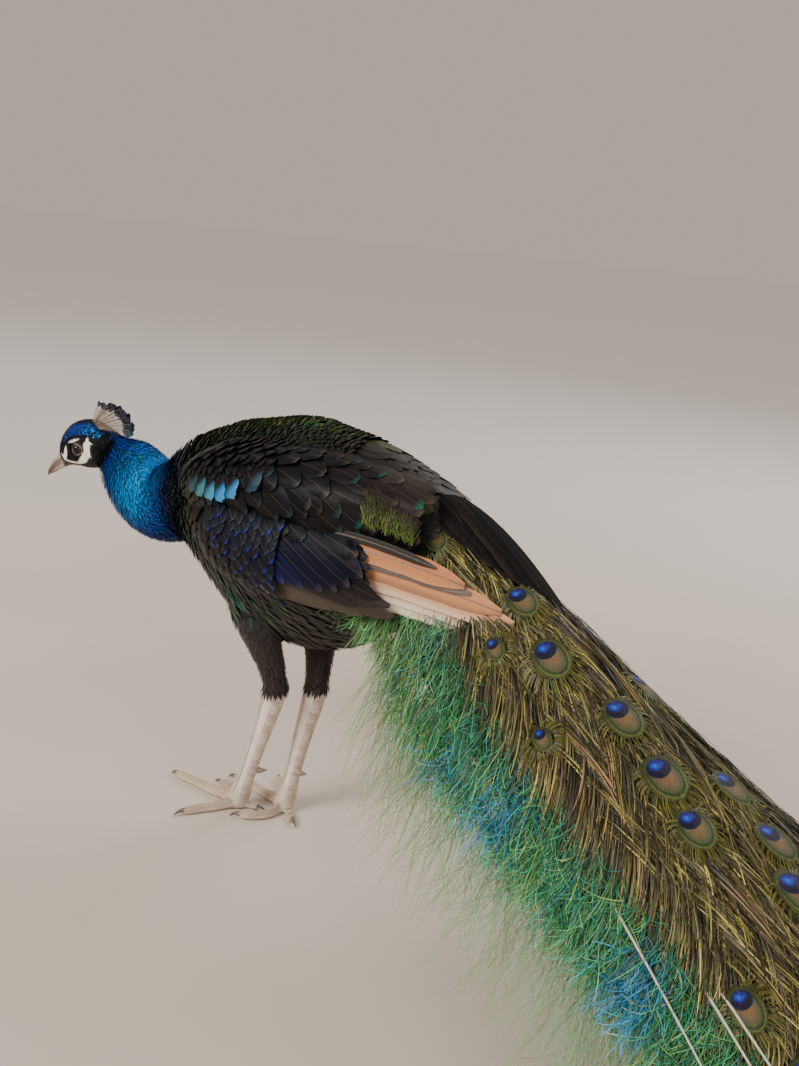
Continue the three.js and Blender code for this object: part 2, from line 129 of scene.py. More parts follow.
# ---------------------------------------------------------------------------------------------------------
# Colours of the plumage
# ---------------------------------------------------------------------------------------------------------

BLACK = colour("131216")
BLACK_GREEN = colour("14241c")
BLACK_BROWN = colour("231d1a")
BROWN_GREY = colour("5b5048")
NAVY = colour("0d1c40")
COBALT = colour("0648c4")
VIOLET = colour("2b2a9c")
TURQUOISE = colour("02a2ec")
SEA_GREEN = colour("0b8a6c")
GREEN_GOLD = colour("7c8f2c")
LEAF_GREEN = colour("3f9440")
CHESTNUT = colour("d8925e")
CREAM = colour("e9dccb")
DARK_HORN = colour("6f625c")
WHITE_SKIN = colour("faf8f2")
CREAM_SKIN = colour("f8f4de")
LEG_SKIN = colour("efe2d8")
BUFF = colour("b39a84")


def blended(first, second, share):
    """Row by row mix of two colours."""
    share = np.asarray(share, float)[..., None]
    return np.asarray(first) * (1 - share) + np.asarray(second) * share


# ---------------------------------------------------------------------------------------------------------
# Meshes
# ---------------------------------------------------------------------------------------------------------


def in_frame(points):
    """Own millimetres as metres of the shared frame."""
    return (np.asarray(points, float) + SHIFT) * MM


def add_tint(mesh, tint):
    """Stores one linear colour for each point."""
    rgba = np.ones((len(mesh.vertices), 4), np.float32)
    rgba[:, :3] = tint
    mesh.color_attributes.new("Tint", "FLOAT_COLOR", "POINT").data.foreach_set("color", rgba.ravel())


def make_object(name, points, faces, material, tint=None, uvs=None):
    """One mesh object from points (in mm) and faces that all have the same number of corners."""
    faces = np.asarray(faces, np.int32)
    corners = faces.shape[1]
    mesh = bpy.data.meshes.new(name)
    mesh.vertices.add(len(points))
    mesh.vertices.foreach_set("co", in_frame(points).astype(np.float32).ravel())
    mesh.loops.add(faces.size)
    mesh.loops.foreach_set("vertex_index", faces.ravel())
    mesh.polygons.add(len(faces))
    mesh.polygons.foreach_set("loop_start", np.arange(0, faces.size, corners, dtype=np.int32))
    mesh.update(calc_edges=True)
    mesh.polygons.foreach_set("use_smooth", np.full(len(faces), True))
    if tint is not None:
        add_tint(mesh, tint)
    for uv_name, uv in (uvs or {}).items():
        layer = mesh.uv_layers.new(name=uv_name)
        layer.data.foreach_set("uv", np.asarray(uv, np.float32)[faces.ravel()].ravel())
    mesh.validate()
    piece = bpy.data.objects.new(name, mesh)
    bpy.context.scene.collection.objects.link(piece)
    mesh.materials.append(material)
    return piece


def finish_piece(piece, slot, *nodes):
    """Rides the piece on the bird and hides the solids it stands for; slot is not used."""
    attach(piece, "root")
    if nodes:
        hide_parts(*nodes)
    return piece


def grid_faces(rows, columns):
    """Quads of a grid whose points are numbered row by row."""
    index = np.arange(rows * columns).reshape(rows, columns)
    return np.stack([index[:-1, :-1], index[:-1, 1:], index[1:, 1:], index[1:, :-1]], -1).reshape(-1, 4)


def ring_faces(rings, sides):
    """Quads of a tube whose rings each have the same number of points."""
    index = np.arange(rings * sides).reshape(rings, sides)
    turned = np.roll(index, -1, axis=1)
    return np.stack([index[:-1], turned[:-1], turned[1:], index[1:]], -1).reshape(-1, 4)


def repeated_faces(faces, points_each, count):
    """The same faces for each of several shapes whose points follow one another."""
    return (faces[None] + np.arange(count)[:, None, None] * points_each).reshape(-1, faces.shape[1])


def joined(parts):
    """The points and faces of several meshes as one, from (points, faces) pairs."""
    points, faces, first = [], [], 0
    for part, corners in parts:
        points.append(part)
        faces.append(corners + first)
        first += len(part)
    return np.concatenate(points), np.concatenate(faces)


# ---------------------------------------------------------------------------------------------------------
# Body shapes
# ---------------------------------------------------------------------------------------------------------

TRUNK = dict(
    path=[[-146, 0, 330], [-108, 0, 333], [-55, 0, 328], [5, 0, 322], [65, 0, 324], [125, 0, 335],
          [185, 0, 342], [240, -6, 335], [275, -12, 322]],
    half=[26, 46, 68, 78, 79, 73, 60, 44, 18],
    above=[34, 72, 104, 122, 124, 104, 66, 34, 12],
    below=[26, 43, 76, 113, 118, 98, 76, 44, 12],
    side=[0, 1, 0],
)
NECK = dict(
    path=[[-262, 0, 364], [-238, 0, 356], [-213, 0, 341], [-186, 0, 326], [-155, 0, 319], [-120, 0, 331],
          [-86, 0, 334]],
    half=[18, 22, 29, 35, 39, 44, 50],
    above=[22, 30, 47, 50, 42, 46, 50],
    below=[18, 20, 33, 42, 45, 48, 50],
    side=[0, 1, 0],
)
HEAD = dict(
    path=[[-226, 0, 360], [-244, 0, 362], [-262, 0, 363], [-280, 0, 360], [-296, 0, 352], [-307, 0, 344],
          [-313, 0, 339]],
    half=[16, 19.5, 20, 18.6, 14.5, 8.5, 4],
    above=[20, 25, 31, 30, 23, 12.5, 5],
    below=[18, 21, 25, 24, 18, 10, 4],
    side=[0, -1, 0],
)
UPPER_BILL = dict(
    path=[[-296, 0, 349], [-306, 0, 345], [-316, 0, 338], [-325, 0, 330], [-332, 0, 322], [-336, 0, 316]],
    half=[8.5, 7.6, 6.4, 4.8, 3.0, 0.8],
    above=[7, 6.9, 5.6, 4.2, 2.9, 1.1],
    below=[5, 4.4, 3.8, 3.0, 2.0, 0.8],
    side=[0, -1, 0],
)
LOWER_BILL = dict(
    path=[[-292, 0, 341.5], [-302, 0, 338], [-312, 0, 332.6], [-321, 0, 327.2], [-328, 0, 322],
          [-332.5, 0, 318.6]],
    half=[7.3, 6.6, 5.2, 3.7, 2.2, 0.7],
    above=[6, 5, 4.2, 3.0, 1.7, 0.5],
    below=[5, 4.4, 3.7, 3.2, 2.2, 0.6],
    side=[0, -1, 0],
)
THIGH_SIZES = dict(
    half=[26, 24, 18, 14, 12.5], above=[34, 27, 19, 16, 14.5], below=[34, 28, 21, 17, 15.5], side=[0, 1, 0]
)
TARSUS_SIZES = dict(
    half=[8, 10.5, 8.4, 8.4, 10.5], above=[9, 13, 10.2, 8.8, 11.5], below=[9, 13, 10.2, 8.8, 11.5],
    side=[0, 1, 0],
)
TOE_RADIUS = 5.4
TOE_SHARES = {"middle": 1.0, "inner": 0.9, "outer": 0.9, "hind": 0.78}
TOE_LOW = 0.72  # height of a toe's middle line over the floor, as a share of its radius
TOE_KNOTS = {"middle": 3, "inner": 3, "outer": 3, "hind": 2}
TOE_SCUTES = {"middle": 22, "inner": 15, "outer": 17, "hind": 6}
CLAW_LENGTH = 13
SPUR_LENGTH = 18
SKIN_VOXEL = 2.0
COAT_DEPTH = {"trunk": 7.0, "neck": 4.5, "head": 0.8, "thigh": 4.0}  # how far the skin lies inside the solids
LEGS = {
    "left": dict(
        sign=LEFT,
        thigh=[[2, -38, 268], [6, -35, 236], [14, -28, 204], [20, -21, 178], [25, -16, 152]],
        tarsus=[[25, -15, 164], [22, -15, 148], [5, -14, 88], [-7, -14, 44], [-16, -13, 14]],
        toes={
            "middle": [[-17, -13], [-52, -10], [-88, -7], [-123, -4]],
            "inner": [[-17, -11], [-37, 0], [-56, 9], [-73, 14]],
            "outer": [[-17, -16], [-31, -36], [-44, -56], [-56, -76]],
            "hind": [[-15, -13], [-5, -9], [3, -6], [11, -3]],
        },
    ),
    "right": dict(
        sign=RIGHT,
        thigh=[[26, 40, 268], [36, 37, 234], [44, 32, 204], [48, 27, 176], [49, 24, 149]],
        tarsus=[[50, 24, 160], [48, 24, 144], [38, 20, 88], [31, 17, 44], [26, 15, 14]],
        toes={
            "middle": [[26, 15], [-6, 22], [-36, 29], [-68, 33]],
            "inner": [[26, 13], [25, -9], [13, -26], [-10, -38]],
            "outer": [[26, 17], [10, 36], [-8, 54], [-26, 71]],
            "hind": [[28, 13], [38, 5], [49, -4], [60, -12]],
        },
    ),
}


def round_points(shape, t, angle, inset=0.0):
    """Points of a rounded body at stations t and angles round its path."""
    t, angle = np.broadcast_arrays(np.asarray(t, float), np.asarray(angle, float))
    centre = spline(shape["path"], t)
    along = heading(shape["path"], t)
    across = np.broadcast_to(unit(shape["side"]), along.shape)
    up = unit(np.cross(along, across))
    reach = np.where(np.sin(angle) >= 0, spline(shape["above"], t), spline(shape["below"], t))
    sideways = (spline(shape["half"], t) - inset) * np.cos(angle)
    upward = (reach - inset) * np.sin(angle)
    return centre + across * sideways[..., None] + up * upward[..., None]


def loft_rings(shape, steps, sides, inset=0.0, floor=None):
    """Rings of points over a rounded body, kept above a floor where one is given."""
    t = np.linspace(0, 1, steps + 1)[:, None]
    angle = np.linspace(0, 2 * np.pi, sides, endpoint=False)[None, :]
    rings = round_points(shape, t, angle, inset)
    if floor is not None:
        rings[..., 2] = np.maximum(rings[..., 2], floor)
    return rings


def capped(rings):
    """Points and triangles of a closed body through rings."""
    count, sides, _ = rings.shape
    quads = ring_faces(count, sides)
    points = np.concatenate([rings.reshape(-1, 3), rings[[0, -1]].mean(axis=1)])
    first, last = len(points) - 2, len(points) - 1
    side = np.arange(sides)
    following = (side + 1) % sides
    end = (count - 1) * sides
    triangles = [
        quads[:, [0, 1, 2]],
        quads[:, [0, 2, 3]],
        np.stack([np.full(sides, first), following, side], -1),
        np.stack([np.full(sides, last), end + side, end + following], -1),
    ]
    return points, np.concatenate(triangles)


def toe_end(route):
    """The tip of a toe's claw and the direction in which it points."""
    end = np.array(route[-1], float)
    return end, unit(end - np.array(route[-2], float))


def toe_shape(route, radius):
    """A toe on the floor without its claw."""
    end, onward = toe_end(route)
    nail = end - onward * CLAW_LENGTH
    low = radius * TOE_LOW
    return dict(
        path=[[*route[0], low + 5], [*route[1], low + 0.6], [*route[2], low], [*nail, low],
              [*(nail + onward * 4), low]],
        half=[radius * 1.3, radius * 1.05, radius, radius * 0.84, radius * 0.5],
        above=[radius * 1.3, radius * 1.1, radius, radius * 0.84, radius * 0.5],
        below=[radius * 1.5, radius * 1.2, radius, radius * 0.9, radius * 0.6],
        side=[-onward[1], onward[0], 0],
    )


def swollen(rings, knots, amount):
    """A toe's rings, thicker at its joints and on the pads between them."""
    count = len(rings)
    t = np.linspace(0, 1, count)
    scale = 1 + amount * np.cos(2 * np.pi * knots * t)
    middle = rings.mean(axis=1, keepdims=True)
    return middle + (rings - middle) * scale[:, None, None]


def flesh_parts():
    """Every loft of the flesh, inside its solids by the depth of the coat."""
    parts = [
        loft_rings(TRUNK, 40, 48, inset=COAT_DEPTH["trunk"]),
        loft_rings(NECK, 30, 40, inset=COAT_DEPTH["neck"]),
        loft_rings(HEAD, 40, 48, inset=COAT_DEPTH["head"]),
    ]
    for leg in LEGS.values():
        parts.append(loft_rings(dict(THIGH_SIZES, path=leg["thigh"]), 20, 32, inset=COAT_DEPTH["thigh"]))
        parts.append(loft_rings(dict(TARSUS_SIZES, path=leg["tarsus"]), 20, 28, inset=0.5))
        x, y = leg["toes"]["middle"][0]
        ball = dict(
            path=[[x + 1.5, y, 26], [x, y, 16], [x - 2, y, 6], [x - 3, y, -4]],
            half=[8.6, 10.4, 11, 8], above=[10, 11.5, 13, 9], below=[10, 11.5, 12, 8], side=[0, -1, 0],
        )
        parts.append(loft_rings(ball, 12, 24, inset=0.4, floor=0.1))
        for name, route in leg["toes"].items():
            shape = toe_shape(route, TOE_RADIUS * TOE_SHARES[name])
            rings = swollen(loft_rings(shape, 36, 20, inset=0.2), TOE_KNOTS[name], 0.09)
            rings[..., 2] = np.maximum(rings[..., 2], 0.1)
            parts.append(rings)
    return parts


def fused(parts):
    """One closed surface round all the parts, as points in mm and quads."""
    plain = bpy.data.materials.new("unused")
    rough = make_object("rough_skin", *joined(capped(rings) for rings in parts), plain)
    remesh = rough.modifiers.new("fuse", "REMESH")
    remesh.mode = "VOXEL"
    remesh.voxel_size = SKIN_VOXEL * MM
    relax = rough.modifiers.new("relax", "SMOOTH")
    relax.factor = 0.5
    relax.iterations = 6
    evaluated = rough.evaluated_get(bpy.context.evaluated_depsgraph_get())
    mesh = bpy.data.meshes.new_from_object(evaluated)
    bpy.data.objects.remove(rough)
    bpy.data.materials.remove(plain)
    return mesh


# ---------------------------------------------------------------------------------------------------------
# Markings, the same for skin and coat
# ---------------------------------------------------------------------------------------------------------


def from_eye(x, z):
    """Distance from the eye's centre in the side view."""
    return np.hypot(x - EYE[0], z - EYE[2])


def capsule(x, z, start_x, start_z, end_x, end_z, start_radius, end_radius):
    """Signed distance in the side view to a rounded stroke."""
    run_x, run_z = end_x - start_x, end_z - start_z
    share = np.clip(((x - start_x) * run_x + (z - start_z) * run_z) / (run_x**2 + run_z**2), 0, 1)
    gap = np.hypot(x - start_x - share * run_x, z - start_z - share * run_z)
    return gap - mix(start_radius, end_radius, share)


LID_REACH = 9.3  # from the eye's centre to the outer edge of the lids
# Strokes of the bare face in the side view: x and z of both ends and the radius at each
WHITE_STROKES = (
    # over the eye
    (-288.5, 364.4, -283, 366.9, 0.3, 1.5), (-283, 366.9, -276.5, 369.7, 1.5, 1.7),
    (-276.5, 369.7, -269.5, 372.4, 1.7, 0.7),
    # before the eye
    (-292.6, 360.5, -293.6, 354.5, 0.5, 2.8), (-293.6, 354.5, -295.5, 349, 2.8, 3.2),
    (-295.5, 349, -300.5, 343.5, 3.0, 3.2), (-300.5, 344, -305.5, 348.5, 2.6, 0.8),
    # the gape
    (-300, 341, -276, 341.8, 1.8, 1.5),
)
CREAM_STROKES = (
    (-257.5, 374.6, -257.2, 367, 1.8, 5.2), (-257.2, 367, -256.6, 358, 5.4, 5.6),
    (-256.6, 358, -263, 350.5, 5.4, 4.9), (-263, 350.5, -270, 346, 4.6, 3.6),
    (-270, 346, -277, 342.6, 3.4, 1.5),
    (-253, 370.4, -248.8, 369.6, 1.7, 0.5), (-253, 356, -250.2, 354.6, 1.7, 0.6),
)


def face_patches(x, z):
    """Signed distances to the white skin before and over the eye and the cream skin behind and under it."""
    white, cream = (np.minimum.reduce([capsule(x, z, *stroke) for stroke in strokes])
                    for strokes in (WHITE_STROKES, CREAM_STROKES))
    return white, np.maximum(cream, LID_REACH - from_eye(x, z))


def crown_line(x):
    """Height of the lower edge of the blue crown."""
    return np.interp(x, [-312, -294, -288, -278, -264, -253, -245, -238, -228, -216],
                     [356, 365.5, 371.5, 374.4, 377.5, 377.2, 375.8, 386, 394, 398])


def nape_line(z):
    """Where the black of the head meets the blue of the neck, at each height."""
    return np.interp(z, [338, 344, 350, 356, 367, 375, 381, 386, 392],
                     [-236, -233.8, -229.5, -227.4, -222.5, -225, -231, -239, -246])


def bare_face(points):
    """How bare the skin is: 1 on the white and cream patches and round the eye."""
    x, y, z = points.T
    white, cream = face_patches(x, z)
    bare = 1 - smooth_step(-0.5, 0.4, np.minimum.reduce([white, cream, from_eye(x, z) - 8.6]))
    return bare * (np.abs(y) > 5) * (x < -240)


def markings(points, speckle):
    """Plumage colour at points of the body; speckle is a random number from 0 to 1 for each of them."""
    points = np.asarray(points, float)
    x, y, z = points.T
    # Breast, belly and flanks
    result = blended(BLACK_GREEN * 0.8, BLACK_BROWN * 0.8, smooth_step(-20, 120, x) * 0.6 + 0.4 * speckle)
    glossy_flank = bell(x, -18, 40) * bell(z, 262, 26)
    gloss = (speckle > 1.0 - 0.45 * glossy_flank) & (z > 214)
    result = blended(result, SEA_GREEN * 0.45, 0.6 * gloss)
    # Rump: nearly black with a grey-brown sheen, between the folded wings
    rump = smooth_step(64, 110, x) * smooth_step(330, 372, z)
    dark_back = blended(BLACK * 0.7, BROWN_GREY * 0.26, speckle**2)
    dark_back = np.where((speckle > 0.84)[:, None], GREEN_GOLD * 0.22, dark_back)
    result = blended(result, dark_back, rump)
    # Mantle: a narrow scaly strip of green gold along the back
    mantle = ((1 - smooth_step(13, 27, np.abs(y))) * smooth_step(-120, -60, x) * (1 - smooth_step(52, 96, x))
              * smooth_step(372, 396, z))
    scaly = blended(GREEN_GOLD * 0.3, BLACK_GREEN * 0.7, speckle < 0.4)
    scaly = blended(scaly, LEAF_GREEN * 0.26, speckle > 0.75)
    scaly = np.where((speckle > 0.95)[:, None], GREEN_GOLD * 0.7, scaly)
    result = blended(result, scaly, mantle)
    # Neck: cobalt and violet towards the head, navy towards the breast; the turquoise in its middle is the
    # iridescent blue with a painted highlight where it faces the light
    # Painted highlight: where the turquoise is laid over the blue
    bright = bell(x, -178, 34) * bell(z, 0.12 * (x + 190) + 332, 34)
    base = blended(COBALT * 0.75, VIOLET * 0.8, (speckle > 0.75) * smooth_step(-175, -225, x))
    base = blended(base, SEA_GREEN * 0.7, (speckle < 0.16) * smooth_step(330, 372, z))
    neck = blended(base, TURQUOISE, np.clip(bright * (0.85 + 0.5 * speckle), 0, 1))
    glint = (speckle > 0.9) * smooth_step(320, 352, z)
    # A random tone for each feather, and brighter towards the top of the nape: painted light against the
    # shadow that the crest casts there
    neck = neck * ((0.62 + 0.9 * speckle) * (1 + 0.9 * smooth_step(368, 386, z)))[:, None]
    neck = blended(neck, LEAF_GREEN * 0.9, 0.7 * glint)
    toward_breast = smooth_step(-152, -118, x + 0.35 * (z - 330) + 10 * (speckle - 0.5))
    neck = blended(neck, NAVY * (0.5 + 0.5 * speckle)[:, None], toward_breast)
    result = blended(neck, result, smooth_step(-132, -88, x + 0.25 * (z - 330)))
    # Head: blue crown, black band, ear and throat
    on_head = 1 - smooth_step(-4, 4, x - nape_line(z) + 9 * (speckle - 0.5))
    crown = blended(COBALT * 1.15, NAVY * 0.5, speckle < 0.42)
    bright_crown = 0.1 + 0.3 * bell(x, -262, 17)
    crown = np.where((speckle > 1 - bright_crown)[:, None], TURQUOISE * 1.15, crown)
    mottle = np.sin(2.6 * x + 1.7 * np.sin(1.9 * z)) * np.sin(2.4 * z + 1.3 * np.sin(2.2 * x))
    crown = blended(crown, NAVY * 0.3, 0.8 * smooth_step(0.05, -0.25, mottle))
    ridge = np.maximum(1 - smooth_step(6.5, 12, np.abs(y)), 1 - smooth_step(-301, -295, x))
    crown = blended(crown, blended(BLACK, VIOLET * 0.5, 0.6 * (speckle > 0.5)), 0.9 * ridge)
    edge = crown_line(x) + 2 * (speckle - 0.5)
    mask = blended(BLACK * 0.7, crown, smooth_step(-0.6, 0.6, z - edge))
    result = blended(result, mask, on_head)
    white, cream = face_patches(x, z)
    on_side = (np.abs(y) > 4) & (x < -240)
    result = blended(result, WHITE_SKIN, (1 - smooth_step(-0.25, 0.25, white)) * on_side)
    result = blended(result, CREAM_SKIN, (1 - smooth_step(-0.25, 0.25, cream)) * on_side)
    # Thighs
    thigh = 1 - smooth_step(196, 226, z)
    result = blended(result, colour("2e2420") * (0.5 + 0.7 * speckle)[:, None], thigh * (x > -60))
    # Bare legs below the jagged end of the thigh feathers
    return blended(result, LEG_SKIN, 1 - smooth_step(146, 150, z))


# ---------------------------------------------------------------------------------------------------------
# Materials
# ---------------------------------------------------------------------------------------------------------


class Nodes:
    """Short names for the few shader nodes that these materials use."""

    def __init__(self, name):
        self.material = bpy.data.materials.new(name)
        self.material.use_nodes = True
        self.tree = self.material.node_tree
        self.tree.nodes.clear()
        self.shader = self.tree.nodes.new("ShaderNodeBsdfPrincipled")
        output = self.tree.nodes.new("ShaderNodeOutputMaterial")
        self.join(self.shader.outputs[0], output.inputs["Surface"])

    def join(self, source, target):
        """Links an output to an input."""
        self.tree.links.new(source, target)

    def put(self, value, socket):
        """Links an output to a socket, or writes a number or colour on it."""
        if isinstance(value, bpy.types.NodeSocket):
            self.join(value, socket)
        else:
            socket.default_value = value

    def set(self, **values):
        """Plain numbers on the shader's own sockets."""
        for name, value in values.items():
            self.shader.inputs[name.replace("_", " ")].default_value = value

    def attribute(self, name):
        """A stored colour of the mesh."""
        node = self.tree.nodes.new("ShaderNodeAttribute")
        node.attribute_name = name
        return node.outputs["Color"]

    def uv(self, name):
        """Coordinates of a named map."""
        node = self.tree.nodes.new("ShaderNodeUVMap")
        node.uv_map = name
        return node.outputs[0]

    def place(self):
        """The place in the object's own space, in metres."""
        return self.tree.nodes.new("ShaderNodeTexCoord").outputs["Object"]

    def parts(self, vector):
        """X, Y and Z of a vector."""
        node = self.tree.nodes.new("ShaderNodeSeparateXYZ")
        self.join(vector, node.inputs[0])
        return node.outputs[0], node.outputs[1], node.outputs[2]

    def vector(self, x, y, z=0.0):
        """A vector from three values."""
        node = self.tree.nodes.new("ShaderNodeCombineXYZ")
        for value, socket in zip((x, y, z), node.inputs):
            self.put(value, socket)
        return node.outputs[0]

    def math(self, operation, a, b=0.0, c=0.0):
        """One operation on up to three values."""
        node = self.tree.nodes.new("ShaderNodeMath")
        node.operation = operation
        for value, socket in zip((a, b, c), node.inputs):
            self.put(value, socket)
        return node.outputs[0]

    def times(self, a, b):
        """The product of two values."""
        return self.math("MULTIPLY", a, b)

    def streaks(self, across, across_scale, along, along_scale, detail=3.0, roughness=0.6):
        """Noise that is stretched over a plane by two scales."""
        plane = self.vector(self.times(across, across_scale), self.times(along, along_scale))
        return self.noise(plane, 1.0, detail, roughness)

    def noise(self, vector, scale, detail=2.0, roughness=0.5):
        """Soft random values from 0 to 1."""
        node = self.tree.nodes.new("ShaderNodeTexNoise")
        self.join(vector, node.inputs["Vector"])
        node.inputs["Scale"].default_value = scale
        node.inputs["Detail"].default_value = detail
        node.inputs["Roughness"].default_value = roughness
        return node.outputs["Fac"]

    def ramp(self, value, stops):
        """Colours at places from 0 to 1."""
        node = self.tree.nodes.new("ShaderNodeValToRGB")
        self.join(value, node.inputs[0])
        while len(node.color_ramp.elements) < len(stops):
            node.color_ramp.elements.new(0.5)
        for element, (place, shade) in zip(node.color_ramp.elements, stops):
            element.position = place
            shade = np.atleast_1d(shade)
            element.color = (*(shade if len(shade) == 3 else np.repeat(shade, 3)), 1.0)
        return node.outputs["Color"]

    def blend(self, share, a, b, how="MIX"):
        """Two colours mixed or multiplied by a share."""
        node = self.tree.nodes.new("ShaderNodeMix")
        node.data_type = "RGBA"
        node.blend_type = how
        self.put(share, node.inputs["Factor"])
        for value, socket in ((a, node.inputs["A"]), (b, node.inputs["B"])):
            if not isinstance(value, bpy.types.NodeSocket):
                value = (*value, 1.0)
            self.put(value, socket)
        return node.outputs["Result"]

    def bump(self, height, distance, strength=1.0):
        """Raises the surface by a height."""
        node = self.tree.nodes.new("ShaderNodeBump")
        self.join(height, node.inputs["Height"])
        node.inputs["Distance"].default_value = distance
        node.inputs["Strength"].default_value = strength
        self.join(node.outputs[0], self.shader.inputs["Normal"])


def plumage(name, metallic, roughness, contrast=0.35, barb=1.1, slant=0.7, rachis=0.0, shaft=0.5, sheen=0.0,
            specular=0.5):
    """Feather vanes: the tint of each feather, broken into fine barbs that slant from its shaft.

    The Vane map gives millimetres across the feather from its shaft and along it from its root.
    """
    nodes = Nodes(name)
    across, along, _ = nodes.parts(nodes.uv("Vane"))
    off_shaft = nodes.math("ABSOLUTE", across)
    barbs = nodes.math("SUBTRACT", along, nodes.times(off_shaft, slant))
    streaks = nodes.streaks(barbs, barb, across, 0.06, roughness=0.65)
    shade = nodes.ramp(streaks, [(0.3, 1 - contrast), (0.5, 1.0), (0.72, 1 + contrast)])
    tint = nodes.blend(1.0, nodes.attribute("Tint"), shade, "MULTIPLY")
    if rachis:
        on_shaft = nodes.ramp(off_shaft, [(0.0, 1.0), (rachis, 1.0), (rachis * 1.4, 0.0)])
        tint = nodes.blend(nodes.times(on_shaft, shaft), tint, BROWN_GREY * 1.4)
    nodes.join(tint, nodes.shader.inputs["Base Color"])
    nodes.set(Metallic=metallic, Roughness=roughness, Specular_IOR_Level=specular)
    if sheen:
        nodes.set(Sheen_Weight=sheen, Sheen_Roughness=0.4)
    nodes.bump(streaks, 0.0004, 0.6)
    return nodes.material


def skin_material():
    """Bare and feather-bearing skin: markings with fine pores and wrinkles."""
    nodes = Nodes("bird_skin")
    place = nodes.place()
    fine = nodes.noise(place, 900.0, 3.0, 0.6)
    broad = nodes.noise(place, 120.0, 3.0, 0.6)
    shade = nodes.ramp(broad, [(0.25, 0.82), (0.55, 1.0), (0.8, 1.1)])
    tint = nodes.blend(1.0, nodes.attribute("Tint"), shade, "MULTIPLY")
    dusty = nodes.ramp(fine, [(0.35, 0.86), (0.6, 1.05)])
    tint = nodes.blend(0.7, tint, nodes.blend(1.0, tint, dusty, "MULTIPLY"))
    nodes.join(tint, nodes.shader.inputs["Base Color"])
    nodes.set(Roughness=0.62, Specular_IOR_Level=0.35)
    nodes.bump(nodes.math("ADD", fine, broad), 0.0005, 0.5)
    return nodes.material


def horn_material(name, roughness=0.38, wear=0.25):
    """Horn of the bill, claws and spurs, with growth lines and worn, paler blotches."""
    nodes = Nodes(name)
    place = nodes.place()
    x, y, z = nodes.parts(place)
    lines = nodes.noise(nodes.vector(nodes.times(x, 240.0), nodes.times(y, 500.0), nodes.times(z, 620.0)),
                        1.0, 4.0, 0.6)
    blotch = nodes.noise(place, 260.0, 3.0, 0.6)
    shade = nodes.ramp(lines, [(0.3, 1 - wear), (0.55, 1.0), (0.8, 1 + wear * 0.7)])
    tint = nodes.blend(1.0, nodes.attribute("Tint"), shade, "MULTIPLY")
    tint = nodes.blend(nodes.ramp(blotch, [(0.52, 0.0), (0.72, 0.35)]), tint, BUFF)
    nodes.join(tint, nodes.shader.inputs["Base Color"])
    nodes.set(Roughness=roughness, Specular_IOR_Level=0.5)
    nodes.bump(lines, 0.0003, 0.4)
    return nodes.material


SKIN = skin_material()
HORN_MATERIAL = horn_material("bill_horn")

# ---------------------------------------------------------------------------------------------------------
# Skin
# ---------------------------------------------------------------------------------------------------------


def own_points(mesh):
    """The mesh's points in own millimetres."""
    points = np.empty(len(mesh.vertices) * 3, np.float32)
    mesh.vertices.foreach_get("co", points)
    return points.reshape(-1, 3).astype(float) / MM - SHIFT


def refine(mesh, wanted):
    """Splits the edges whose two ends are both wanted, once."""
    bm = bmesh.new()
    bm.from_mesh(mesh)
    keep = wanted(own_points(mesh))
    edges = [edge for edge in bm.edges if keep[edge.verts[0].index] and keep[edge.verts[1].index]]
    bmesh.ops.subdivide_edges(bm, edges=edges, cuts=1, use_grid_fill=True, smooth=0.0)
    bm.to_mesh(mesh)
    bm.free()


LID_APERTURE = (7.3, 5.6)  # half the opening of the lids, along the head and up
LID_SHELL = EYE_RADIUS + 0.55


def sculpt_head(points):
    """Sockets, lids, brow, cheek and the wrinkles of the bare face."""
    x, y, z = points.T
    side = np.sign(y)
    forward, upward = x - EYE[0], z - EYE[2]
    radius = np.hypot(forward, upward)
    angle = np.arctan2(upward, forward)
    flank = (np.abs(y) > 6) & (x < -244)
    # A shallow socket round the eye, and a brow over it
    socket = 1.5 * bell(radius, 10.5, 3.0)
    brow = 1.5 * bell(radius, 13.5, 3.0) * np.clip(np.sin(angle), 0, 1)
    cheek = 0.9 * bell(x, -262, 9) * bell(z, 350, 7)
    outward = np.abs(y) + flank * (brow + cheek - socket)
    # Lids on a shell just over the eyeball, cut open at its middle
    aperture = np.hypot(forward / LID_APERTURE[0], upward / LID_APERTURE[1])
    eye_side = abs(EYE[1])
    shell = eye_side + np.sqrt(np.maximum(LID_SHELL**2 - radius**2, 1.0))
    wrinkles = 0.13 * np.sin(radius * 2 * np.pi / 1.25 + 0.8 * np.sin(3 * angle))
    rim = 0.42 * bell(aperture, 1.09, 0.07)
    lid = shell + wrinkles * smooth_step(6.2, 7.2, radius) + rim
    share = 1 - smooth_step(7.5, 9.8, radius)
    outward = np.where(flank, mix(outward, lid, share), outward)
    inside = eye_side + np.sqrt(np.maximum((EYE_RADIUS - 1.3) ** 2 - radius**2, 0.5))
    outward = np.where(flank & (aperture < 1.0), np.minimum(inside, outward), outward)
    # Fine folds over the bare patches
    bare = bare_face(points)
    folds = 0.10 * np.sin((x + 0.5 * z) * 2.9 + np.sin(z * 1.1)) * bare * (radius > 9)
    outward = outward + folds
    sculpted = points.copy()
    sculpted[:, 1] = np.where(flank, side * outward, y)
    return sculpted


